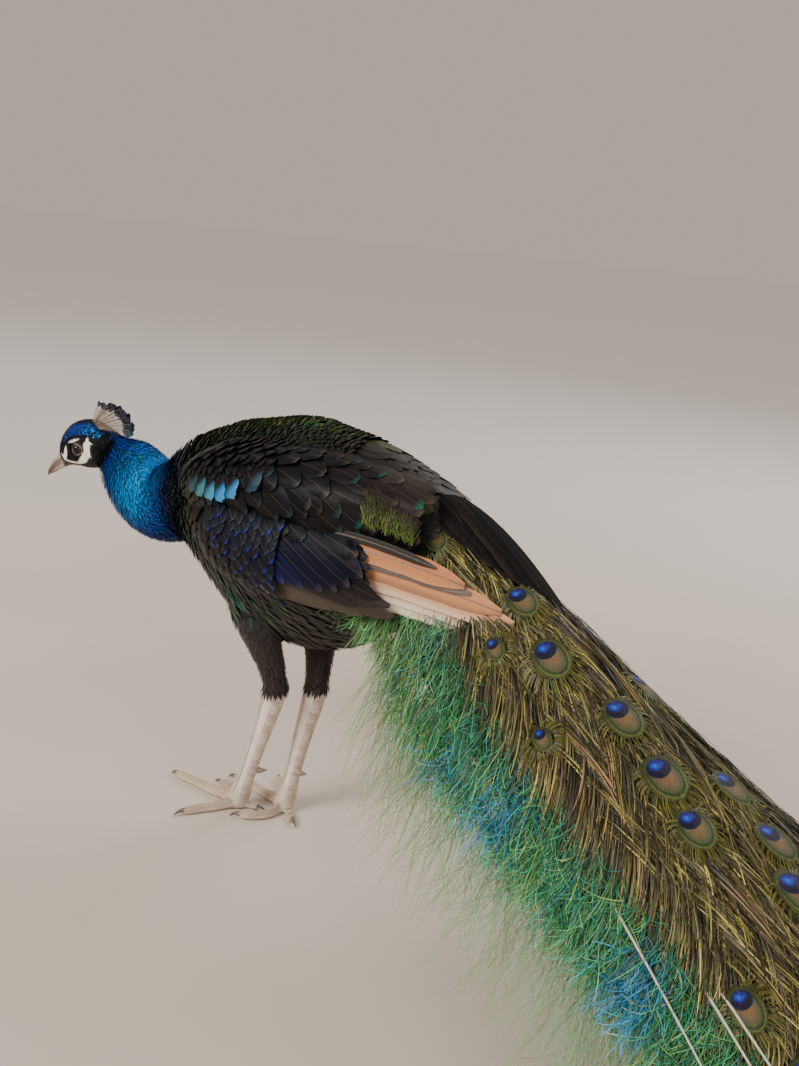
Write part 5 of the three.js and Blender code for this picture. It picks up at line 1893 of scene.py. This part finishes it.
def ocellus_material():
    """The eye of a train feather: violet heart with a blue spot, bronze disc and thin gold-green rings.

    Its Vane map runs from -1 to 1 across the disc and from the body's end to the tip.
    """
    nodes = Nodes("train_eye_spots")
    x, y, _ = nodes.parts(nodes.uv("Vane"))

    def distance(centre, wide, tall):
        """Distance from the middle of an ellipse, 1 at its rim."""
        across = nodes.math("DIVIDE", x, wide)
        along = nodes.math("DIVIDE", nodes.math("SUBTRACT", y, centre), tall)
        return nodes.math("SQRT", nodes.math("ADD", nodes.times(across, across), nodes.times(along, along)))

    off_middle = nodes.math("ABSOLUTE", x)
    barbs = nodes.math("SUBTRACT", y, nodes.times(off_middle, 0.9))
    strand = nodes.streaks(barbs, 26.0, x, 2.2, detail=2.0)
    wobble = nodes.times(nodes.math("SUBTRACT", strand, 0.5), 0.16)
    rings = nodes.math("ADD", distance(0.0, 1.0, 1.0), wobble)
    shade = nodes.ramp(rings, [
        (0.0, colour("7a5634")), (0.3, colour("70593a")), (0.55, colour("55503a")), (0.66, colour("46502c")),
        (0.74, colour("222e18")), (0.8, colour("36481f")), (0.86, colour("626c30")), (0.92, colour("36381a")),
        (1.0, colour("4c4c20")),
    ])
    towards_tip = nodes.ramp(nodes.math("MULTIPLY_ADD", y, 0.5, 0.5), [(0.3, 1.0), (0.62, 0.0)])
    outer = nodes.ramp(rings, [(0.6, 0.0), (0.72, 1.0)])
    shade = nodes.blend(nodes.times(outer, nodes.times(towards_tip, 0.75)), shade, colour("2b2c14"))
    heart = nodes.math("ADD", distance(-0.38, 0.64, 0.4), wobble)
    copper = nodes.math("ADD", distance(0.16, 0.3, 0.2), nodes.times(wobble, 2.0))
    spot = nodes.math("ADD", distance(-0.52, 0.46, 0.26), nodes.times(wobble, 3.0))
    cloud = nodes.streaks(x, 2.4, y, 3.6, detail=1.0, roughness=0.5)
    patch = nodes.math("ADD", spot, nodes.times(nodes.math("SUBTRACT", cloud, 0.5), 1.5))
    inner = nodes.ramp(patch, [(0.0, colour("1c7fd0")), (0.2, colour("1446b4")), (0.45, colour("1a1c80")),
                               (0.85, colour("120c4c")), (1.0, colour("090826"))])
    below = nodes.ramp(heart, [(1.0, 0.0), (1.06, 0.6)])
    rim = nodes.ramp(heart, [(0.9, 0.0), (0.96, 1.0), (1.02, 1.0), (1.12, 0.0)])
    shade = nodes.blend(nodes.ramp(heart, [(0.95, 1.0), (1.0, 0.0)]), shade, inner)
    shade = nodes.blend(nodes.times(rim, 0.35), shade, colour("1a4a44"))
    glow = nodes.ramp(copper, [(0.4, 1.0), (1.1, 0.0)])
    shade = nodes.blend(nodes.times(glow, below), shade, colour("94592c"))
    fine = nodes.ramp(strand, [(0.28, 0.62), (0.5, 1.0), (0.75, 1.35)])
    nodes.join(nodes.blend(1.0, shade, fine, "MULTIPLY"), nodes.shader.inputs["Base Color"])
    nodes.set(Metallic=0.15, Roughness=0.5, Specular_IOR_Level=0.3)
    nodes.bump(strand, 0.0008, 0.8)
    return nodes.material


STRAND_PLUMAGE = plumage("train_barbs", 0.1, 0.45, contrast=0.3, barb=0.35, slant=0.0, specular=0.4)


def gold_tones(pick, flank):
    """Olive gold, bronze, copper or dark strands, by a share from 0 to 1; greener on the right flank."""
    tint = blended(colour("847e40"), colour("b0a454"), smooth_step(0.0, 0.5, pick))
    tint = blended(tint, colour("95704a"), smooth_step(0.66, 0.78, pick))
    tint = blended(tint, colour("4c4a20"), smooth_step(0.8, 0.9, pick))
    return blended(tint, colour("4f5a24"), 0.6 * smooth_step(0.15, 0.8, flank))


def under_discs(eyes, d, s, lift, most=3.5):
    """Lifts of strand points, kept low where an eye spot covers them."""
    o = s * train_half(d)
    for eye_d, eye_s, heart in eyes:
        near = np.abs(d - eye_d - 0.35 * heart) < 2 * heart
        if not near.any():
            continue
        eye_o = eye_s * train_half(np.array(eye_d))
        gap = np.hypot((d[near] - eye_d - 0.35 * heart) / (1.15 * heart), (o[near] - eye_o) / (0.95 * heart))
        lift[near] = np.where(gap < 1.05, np.minimum(lift[near], most), lift[near])
    return lift


def train_unwrap(d, s):
    """Places on the bake map from a distance along the train and a share of its half width."""
    return np.stack([0.02 + 0.96 * np.clip(d / 1300, 0, 1), 0.5 + 0.3 * np.clip(s, -1.6, 1.6)], -1)


def add_eye_spots(eyes):
    """The discs of the eyed feathers, each with a cell of its own on the bake map."""
    coat = Coat("train_eye_spots", ocellus_material(), "train_feathers")
    d, s, heart = eyes.T
    number = len(eyes)
    share = np.linspace(-1, 1, 19)
    path_d = d[:, None] + heart[:, None] * (0.22 + 0.94 * share)
    path_s = s[:, None] * (1 + 0.02 * share)
    centres, normals = on_train(path_d, path_s, 9.0 + 1.2 * (1 - share**2))
    across = math.ceil(math.sqrt(number))
    cell = (np.stack([np.arange(number) % across, np.arange(number) // across], -1) + 0.5) / across
    coat.add(centres, normals, 0.74 * heart, np.ones(3), outline=DISC, columns=17, lift=(0, 0), camber=0.08,
             fray=0.03, bake=cell, patch=0.92 / across, root_shade=1.0, seed=202, disc=True)
    coat.build()


def add_eye_fringes(eyes):
    """Green-gold barbs that fan out from under the rim of every eye spot."""
    coat = Coat("train_eye_fringes", STRAND_PLUMAGE, "train_feathers")
    number, each = len(eyes), 92
    random = np.random.default_rng(205)
    way = np.linspace(-2.6, 2.6, each)[None] + random.uniform(-0.11, 0.11, (number, each))
    heart = np.repeat(eyes[:, 2:3], each, axis=1)
    rows = 6
    share = np.linspace(0, 1, rows)
    start = 0.74 + random.uniform(-0.06, 0.12, (number, each, 1))
    end = 1.5 + random.uniform(-0.2, 0.3, (number, each, 1))
    reach = mix(start, end, share)
    swept = way[..., None] * (1 - 0.16 * share**1.5)
    along = np.cos(swept) * reach * 1.05 + 0.3 + 0.25 * share**2
    aside = np.sin(swept) * reach * 0.8
    path_d = eyes[:, 0, None, None] + heart[..., None] * along
    path_s = eyes[:, 1, None, None] + heart[..., None] * aside / train_half(path_d)
    lift = 10.8 - 5.5 * share**1.5 + random.uniform(-0.8, 1.6, (number, each, 1)) * share
    path_d, path_s = path_d.reshape(-1, rows), path_s.reshape(-1, rows)
    centres, normals = on_train(path_d, path_s, lift.reshape(-1, rows))
    tint = blended(colour("5f6a26"), colour("a39a3a"), hashed(len(centres), 206))
    tint = tint * (0.2 + 0.75 * hashed(len(centres), 207) ** 1.4)[:, None]
    coat.add_strands(centres, normals, 0.32, tint, bake=train_unwrap(path_d[:, 0], path_s[:, 0]),
                     root_shade=0.6, seed=208)
    coat.build()


def under_long_feathers(path_d, path_s, long_feathers, half=13.5):
    """True for strands that lie below the long feathers of the right wing."""
    below = np.zeros(path_d.shape, bool)
    for root_d, root_s, tip_d, tip_s in long_feathers:
        share = (path_d - root_d) / (tip_d - root_d)
        aside = (path_s - mix(root_s, tip_s, share)) * train_half(path_d)
        reach = half * (1.0 - 0.55 * np.clip(share, 0, 1) ** 5)
        below |= (share > -0.2) & (share < 0.97) & (np.abs(aside) < reach)
    return below


def clear_of_wings(centres, covers, gap=9.0):
    """True for strands that no folded wing feather covers; covers are (guide, outward way) pairs."""
    free = np.ones(len(centres), bool)
    inner = np.array([185.0, 0, 320.0])
    for i in np.flatnonzero(np.linalg.norm(centres[:, 0] - inner, axis=1) < 190):
        for guide, outward in covers:
            for point in centres[i, ::2]:
                place, normal, _, _ = guide.find_nearest(Vector(point), 26.0)
                if place is None:
                    continue
                if normal.dot(outward) < 0:
                    normal = -normal
                away = Vector(point) - place
                rise = away.dot(normal)
                beside = (away - normal * rise).length
                if beside < 1.5 and rise > -gap:
                    free[i] = False
    return free


def add_train_barbs(eyes, covers, long_feathers):
    """Loose barbs on both sides of every shaft: they follow the train on top and hang down its flanks."""
    coat = Coat("train_barbs", STRAND_PLUMAGE, "train_feathers")
    random = np.random.default_rng(211)
    shafts = [(d, s, 190.0) for d, s, _ in eyes]
    for d in np.arange(20, 1150, 42):
        for s in (-0.5, -0.66, 0.6, 0.8):
            shafts.append((d + random.uniform(-14, 14), s + random.uniform(-0.06, 0.06), 120.0))
    d, s, side, length, tone, back = [], [], [], [], [], []
    for shaft_d, shaft_s, reach in shafts:
        gone = np.arange(-4.0, reach, 1.9)
        for way in (-1, 1):
            d.append(shaft_d - gone + random.uniform(-1.2, 1.2, len(gone)))
            s.append(shaft_s * (1 - 0.28 * gone / reach) + way * 0.004)
            side.append(np.full(len(gone), way))
            length.append(mix(66, 104, smooth_step(0, 90, gone)) * random.uniform(0.8, 1.12, len(gone)))
            tone.append(np.full(len(gone), random.uniform(0, 1)))
            back.append(gone / reach)
    d, s, side, length, tone, back = (np.concatenate(v) for v in (d, s, side, length, tone, back))
    keep = (d > -60) & (d + length * 0.5 < 1290)
    d, s, side, length, tone, back = (v[keep] for v in (d, s, side, length, tone, back))
    number = len(d)
    outward = side * np.sign(s + 1e-6)
    flank = smooth_step(0.1, 0.75, np.abs(s))
    drooping = outward > 0
    wave = 7 * np.sin(d / 31.0 + 6 * tone) + random.normal(0, 2.5, number)
    first = np.where(drooping, mix(14, 36, flank), 8) + 0.5 * wave
    lock = np.sin(d / 5.3 + 40 * tone)
    last = np.where(drooping, mix(30, 68, flank), mix(10, -12, flank)) + wave + 5 * lock
    level_part = smooth_step(560, 900, d)
    last = last * (1 - level_part) + level_part * (30 + wave)
    rows = 7
    _, path_s = drift(d, s, side, (first, last), length, rows)
    gold_edge = np.where(s < 0, mix(0.5, 0.86, smooth_step(20, 170, d)), 0.9)
    room = gold_edge + random.uniform(-0.12, 0.1, number) - np.abs(s)
    length = length * np.clip(room / np.maximum(np.abs(path_s).max(axis=1) - np.abs(s), 1e-3), 0.12, 1.0)
    path_d, path_s = drift(d, s, side, (first, last), length, rows)
    share = np.linspace(0, 1, rows)
    lock = lock * np.sin(d / 13.1 + 17 * tone)
    lift = (1.0 + (2.5 * random.uniform(0, 1, number) + 3.0 * tone + 1.6 * lock)[:, None]
            + 6.0 * np.sin(np.pi * share**0.8)[None] * random.uniform(0.4, 1.0, number)[:, None]
            + 1.5 * (1 - back)[:, None])
    lift = under_discs(eyes, path_d, path_s, lift)
    lift = np.where(under_long_feathers(path_d, path_s, long_feathers), -1.0, lift)
    keep = (length > 12) & (path_d.max(axis=1) < 1275)
    keep &= clear_of_wings(on_train(path_d, path_s, lift)[0], covers)
    path_d, path_s, lift = path_d[keep], path_s[keep], lift[keep]
    centres, normals = on_train(path_d, path_s, lift)
    roll = random.normal(0, 0.45, (len(centres), 1, 1))
    normals = unit(normals + roll * np.cross(normals, unit(np.gradient(centres, axis=1))))
    strand = hashed(len(centres), 212)
    tint = gold_tones(tone[keep] * 0.55 + 0.45 * hashed(len(centres), 213), smooth_step(0.1, 0.8, s[keep]))
    # A random tone for each strand, and darker strands between the fans as painted shade of the gaps between
    # them
    tuft = 0.5 + 0.5 * np.sin(d[keep] / 6.2 + 50 * tone[keep] + 2.0 * side[keep])
    light = (0.12 + 1.2 * strand**2.2) * (0.26 + 0.95 * smooth_step(0.2, 0.8, tuft))
    # Painted shade over the right flank, which hangs away from the light; less of it where the train lies
    # flat further back
    shaded_flank = smooth_step(0.0, 0.3, s[keep]) * (1 - 0.5 * smooth_step(500, 800, d[keep]))
    tint = blended(tint, colour("3a4420"), 0.7 * shaded_flank) * (light * (1 - 0.68 * shaded_flank))[:, None]
    # Tips lighter as painted highlight
    coat.add_strands(centres, normals, 0.34 + 0.16 * strand, tint,
                     bake=train_unwrap(path_d[:, 0], path_s[:, 0]), root_shade=0.35, seed=214, tip=tint * 1.5,
                     tip_from=0.6)
    coat.build()


def add_train_herls(covers):
    """Curly green and blue barbs along the lower edges and below the wings, with thin loose hairs beneath."""
    coat = Coat("train_green_barbs", STRAND_PLUMAGE, "train_feathers")
    random = np.random.default_rng(221)
    number = 28500
    d = random.uniform(-50, 1195, number)
    shorter = 1 - 0.65 * smooth_step(950, 1170, d)
    side = np.where(random.uniform(0, 1, number) < 0.62, -1.0, 1.0)
    inner = np.where(side < 0, mix(0.45, 0.76, smooth_step(20, 170, d)), 0.8)
    s = side * (inner + (1.03 - inner) * random.uniform(0, 1, number) ** 0.8)
    turn = random.normal(64, 30, number) + 16 * np.sin(d / 9.0) * np.sin(d / 23.0 + 0.7)
    turns = (turn, turn + random.normal(8, 38, number))
    path_d, path_s = drift(d, s, side, turns, random.uniform(14, 44, number) * shorter, 6)
    share = np.linspace(0, 1, 6)
    lift = random.uniform(-4, 10, number)[:, None] + (8 * random.uniform(-0.6, 1, number))[:, None] * share
    core = smooth_step(0.2, 0.7, np.sin(d / 17.0) * np.sin(d / 41.0 + 1.3) + random.normal(0, 0.3, number))
    core *= smooth_step(inner + 0.02, inner + 0.12, np.abs(s)) * smooth_step(30, 150, d)
    centres, normals = on_train(path_d, path_s, lift)
    free = clear_of_wings(centres, covers)
    normals = unit(normals + random.normal(0, 0.5, (number, 1, 3)))
    pick = hashed(number, 222)
    tint = blended(colour("459a4a"), colour("25a07c"), smooth_step(0.2, 0.6, pick))
    tint = blended(tint, colour("9ab45a"), smooth_step(0.74, 0.95, pick))
    tint = blended(tint, colour("8ba23c"), 0.65 * smooth_step(170, 60, d) * hashed(number, 228))
    tint = blended(tint, colour("1496d8"), core * smooth_step(0.1, 0.5, hashed(number, 223)))
    tint = (tint * (0.35 + hashed(number, 224) ** 1.4)[:, None])[free]
    coat.add_strands(centres[free], normals[free], 0.32, tint, bake=train_unwrap(d, s)[free], root_shade=0.4,
                     seed=225, tip=tint * 1.5, tip_from=0.6)
    # Thin loose hairs beneath
    number = 7000
    d = random.uniform(60, 1180, number)
    side = np.where(random.uniform(0, 1, number) < 0.6, -1.0, 1.0)
    s = side * random.uniform(0.92, 1.12, number)
    turn = random.normal(64, 18, number)
    turns = (turn, turn + random.normal(6, 26, number))
    shorter = (1 - 0.5 * smooth_step(500, 900, d)) * (1 - 0.75 * smooth_step(900, 1120, d))
    path_d, path_s = drift(d, s, side, turns, random.uniform(30, 120, number) * shorter, 6)
    lift = random.uniform(-8, 4, number)[:, None] + random.normal(0, 7, number)[:, None] * share**2
    centres, normals = on_train(path_d, np.clip(path_s, -1.9, 1.7), lift)
    pick = hashed(number, 226)
    tint = blended(colour("8c9a62"), colour("5f9a6c"), smooth_step(0.4, 0.8, pick))
    coat.add_strands(centres, normals, 0.2, tint * (0.6 + 0.6 * pick)[:, None], bake=train_unwrap(d, s),
                     root_shade=0.7, seed=227)
    coat.build()


def add_train_shafts(eyes):
    """Pale bare shafts: thin ones over each eyed feather and thick ones along the lower edge."""
    share = np.linspace(0, 1, 14)
    d, s, heart = eyes.T
    path_d = d[:, None] + heart[:, None] * 0.2 - 175 * (1 - share)
    path_s = s[:, None] * (0.76 + 0.24 * share)
    thin, _ = on_train(path_d, path_s, 5.5 + 3.0 * share)
    random = np.random.default_rng(231)
    edge = [(332, 480, -0.86, -0.98), (420, 510, -0.8, -0.87), (426, 510, -0.76, -0.81)]
    for start in np.arange(470, 980, 55):
        edge.append((start, start + 170, -random.uniform(0.88, 1.02), -random.uniform(0.95, 1.06)))
    for start in np.arange(120, 980, 90):
        edge.append((start, start + 170, random.uniform(0.9, 1.0), random.uniform(0.97, 1.05)))
    edge = np.array(edge)
    path_d = mix(edge[:, :1], edge[:, 1:2], share)
    path_s = mix(edge[:, 2:3], edge[:, 3:4], share)
    bare = (np.arange(len(edge)) < 3)[:, None]
    thick, _ = on_train(path_d, path_s, np.where(bare, mix(-3.0, 11.0, smooth_step(0, 0.3, share)), 4.0))
    add_tubes("train_shafts_thin", thin, mix(0.75, 0.4, share), colour("8f7d54"), "train_feathers")
    add_tubes("train_shafts_edge", thick, mix(1.2, 0.8, share), colour("cfcab6"), "train_feathers")


def add_train(covers):
    """The whole train, kept off the wings that cover its root."""
    long_feathers = add_over_train()
    eyes = eyed_feathers()
    eyes = eyes[~under_long_feathers(eyes[:, 0], eyes[:, 1], long_feathers, half=6.0)]
    spots, _ = on_train(eyes[:, :1], eyes[:, 1:2], 9.0)
    eyes = eyes[clear_of_wings(spots, covers, gap=4.0)]
    add_eye_spots(eyes)
    add_eye_fringes(eyes)
    add_train_barbs(eyes, covers, long_feathers)
    add_train_herls(covers)
    add_train_shafts(eyes)
    rings = blade_rings(TRAIN, 90, 40, grow=-TRAIN_DEPTH - 3.0, floor=0.3)
    aside = np.abs(np.cos(np.linspace(0, 2 * np.pi, 40, endpoint=False)))
    # Dark olive on top and dark green on the flanks: painted shade deep under the loose barbs
    tint = blended(colour("1c1a0c"), colour("0c2a20"), np.tile(smooth_step(0.6, 0.85, aside), len(rings)))
    add_bed("train_bed", rings, STRAND_PLUMAGE, tint, [0, 1], "train_feathers",
            "train_base", "train_middle", "train_rear", "train_tip")


def add_tail():
    """Broad brown tail feathers that carry the train from below."""
    coat = Coat("tail_feathers", FLIGHT_PLUMAGE, "tail_feathers")
    number = 18
    spread = np.linspace(-1, 1, number)
    share = np.linspace(0, 1, 15)
    t = np.tile(mix(0.03, 0.97, share), number)
    centre, across, normal = (v.reshape(number, 15, 3) for v in blade_frame(TAIL, t))
    half = spline(TAIL["half"], mix(0.03, 0.9, share))
    cup = spline(TAIL["cup"], mix(0.03, 0.9, share))
    fan = spread[:, None] * 0.92
    drop = cup[None] * fan**2
    layer = (1 - np.abs(spread))[:, None] * 3.0
    lines = centre + across * (half[None] * fan)[..., None] + normal * (layer - drop)[..., None]
    tint = blended(BROWN_GREY, BLACK_BROWN, 0.3 + 0.4 * hashed(number, 241))
    place = np.stack([np.full(number, 0.5), (np.arange(number) + 0.5) / number], -1)
    coat.add(lines, unit(normal + across * 0.7 * fan[..., None]), 13.0, tint, outline=LONG_ROUND, columns=7,
             lift=(0, 0), camber=0.06, fray=0.04, bake=place, patch=(0.9 / number, 0.94), edge=1.2,
             root_shade=0.8, seed=242, tip=BROWN_GREY * 1.3, tip_from=0.9)
    coat.build("tail")


# ---------------------------------------------------------------------------------------------------------
# Camera, floor and light
# ---------------------------------------------------------------------------------------------------------


def add_camera():
    """The photograph's point of view."""
    place = np.array([677.586, -951.503, 632.182])
    yaw, pitch, roll = -0.509626752, 0.254882871, 0.0977325596
    ahead = np.array([math.sin(yaw) * math.cos(pitch), math.cos(yaw) * math.cos(pitch), -math.sin(pitch)])
    level = np.array([math.cos(yaw), -math.sin(yaw), 0])
    upward = np.cross(level, ahead)
    right = math.cos(roll) * level + math.sin(roll) * upward
    up = -math.sin(roll) * level + math.cos(roll) * upward
    data = bpy.data.cameras.new("camera")
    data.sensor_width = 36
    data.lens = 38.84
    data.clip_start = 0.05
    data.clip_end = 60
    camera = bpy.data.objects.new("camera", data)
    bpy.context.scene.collection.objects.link(camera)
    rows = [[right[i], up[i], -ahead[i], in_frame(place)[i]] for i in range(3)]
    camera.matrix_world = Matrix([*rows, [0, 0, 0, 1]])
    bpy.context.scene.camera = camera


def add_light(name, place, target, size, power, shade=(1, 1, 1)):
    """A round area light that looks at a target."""
    data = bpy.data.lights.new(name, "AREA")
    data.shape = "DISK"
    data.size = size
    data.energy = power
    data.color = shade
    light = bpy.data.objects.new(name, data)
    light.location = place
    light.rotation_euler = (Vector(target) - Vector(place)).to_track_quat("-Z", "Y").to_euler()
    bpy.context.scene.collection.objects.link(light)


def add_studio():
    """A wide pale floor, a pale world and three soft lights."""
    bpy.ops.mesh.primitive_circle_add(vertices=96, radius=60, fill_type="NGON", location=(0, 0, -0.0004))
    floor = bpy.context.active_object
    floor.name = "floor"
    nodes = Nodes("floor_pale")
    grain = nodes.noise(nodes.place(), 3.0, 4.0, 0.6)
    near = nodes.ramp(grain, [(0.3, colour("d0c4b6")), (0.7, colour("d7cbbe"))])
    away = nodes.tree.nodes.new("ShaderNodeVectorMath")
    away.operation = "LENGTH"
    nodes.join(nodes.place(), away.inputs[0])
    # Lighter farther out: painted light that makes up for the lamps' falloff across the far floor
    far = nodes.ramp(nodes.times(away.outputs["Value"], 0.05), [(0.05, 0.0), (0.2, 1.0)])
    nodes.join(nodes.blend(far, near, (0.97, 0.97, 0.97)), nodes.shader.inputs["Base Color"])
    nodes.set(Roughness=0.85)
    floor.data.materials.append(nodes.material)
    world = bpy.data.worlds.new("studio")
    world.use_nodes = True
    background = world.node_tree.nodes["Background"]
    background.inputs[0].default_value = (*colour("dccfbf"), 1)
    background.inputs[1].default_value = 0.72
    bpy.context.scene.world = world
    middle = (0, 0, 0.25)
    add_light("key", (-1.6, -2.6, 2.6), (-0.3, 0.1, 0.3), 1.8, 120, (1.0, 0.97, 0.93))
    add_light("fill", (2.4, -2.0, 1.6), middle, 2.4, 38, (0.93, 0.96, 1.0))
    add_light("back", (0.4, 2.6, 2.4), middle, 2.0, 50)


add_camera()
add_studio()
skin_guide = add_skin()
add_eyes()
add_bill()
add_trunk_coat(skin_guide)
add_neck_coat(skin_guide)
add_head_coat(skin_guide)
add_thigh_coats(skin_guide)
add_crest()
add_scutes()
add_claws()
wing_covers = []
for wing_name, wing_sign in (("left", LEFT), ("right", RIGHT)):
    wing_covers.append((add_wing(wing_name, wing_sign), Vector((0, wing_sign, 0.35))))
    add_primaries(wing_name, wing_sign)
wing_covers.append((add_tertials(), Vector((0.35, 0.55, 0.8))))
add_train(wing_covers)
add_tail()
bpy.context.view_layer.update()
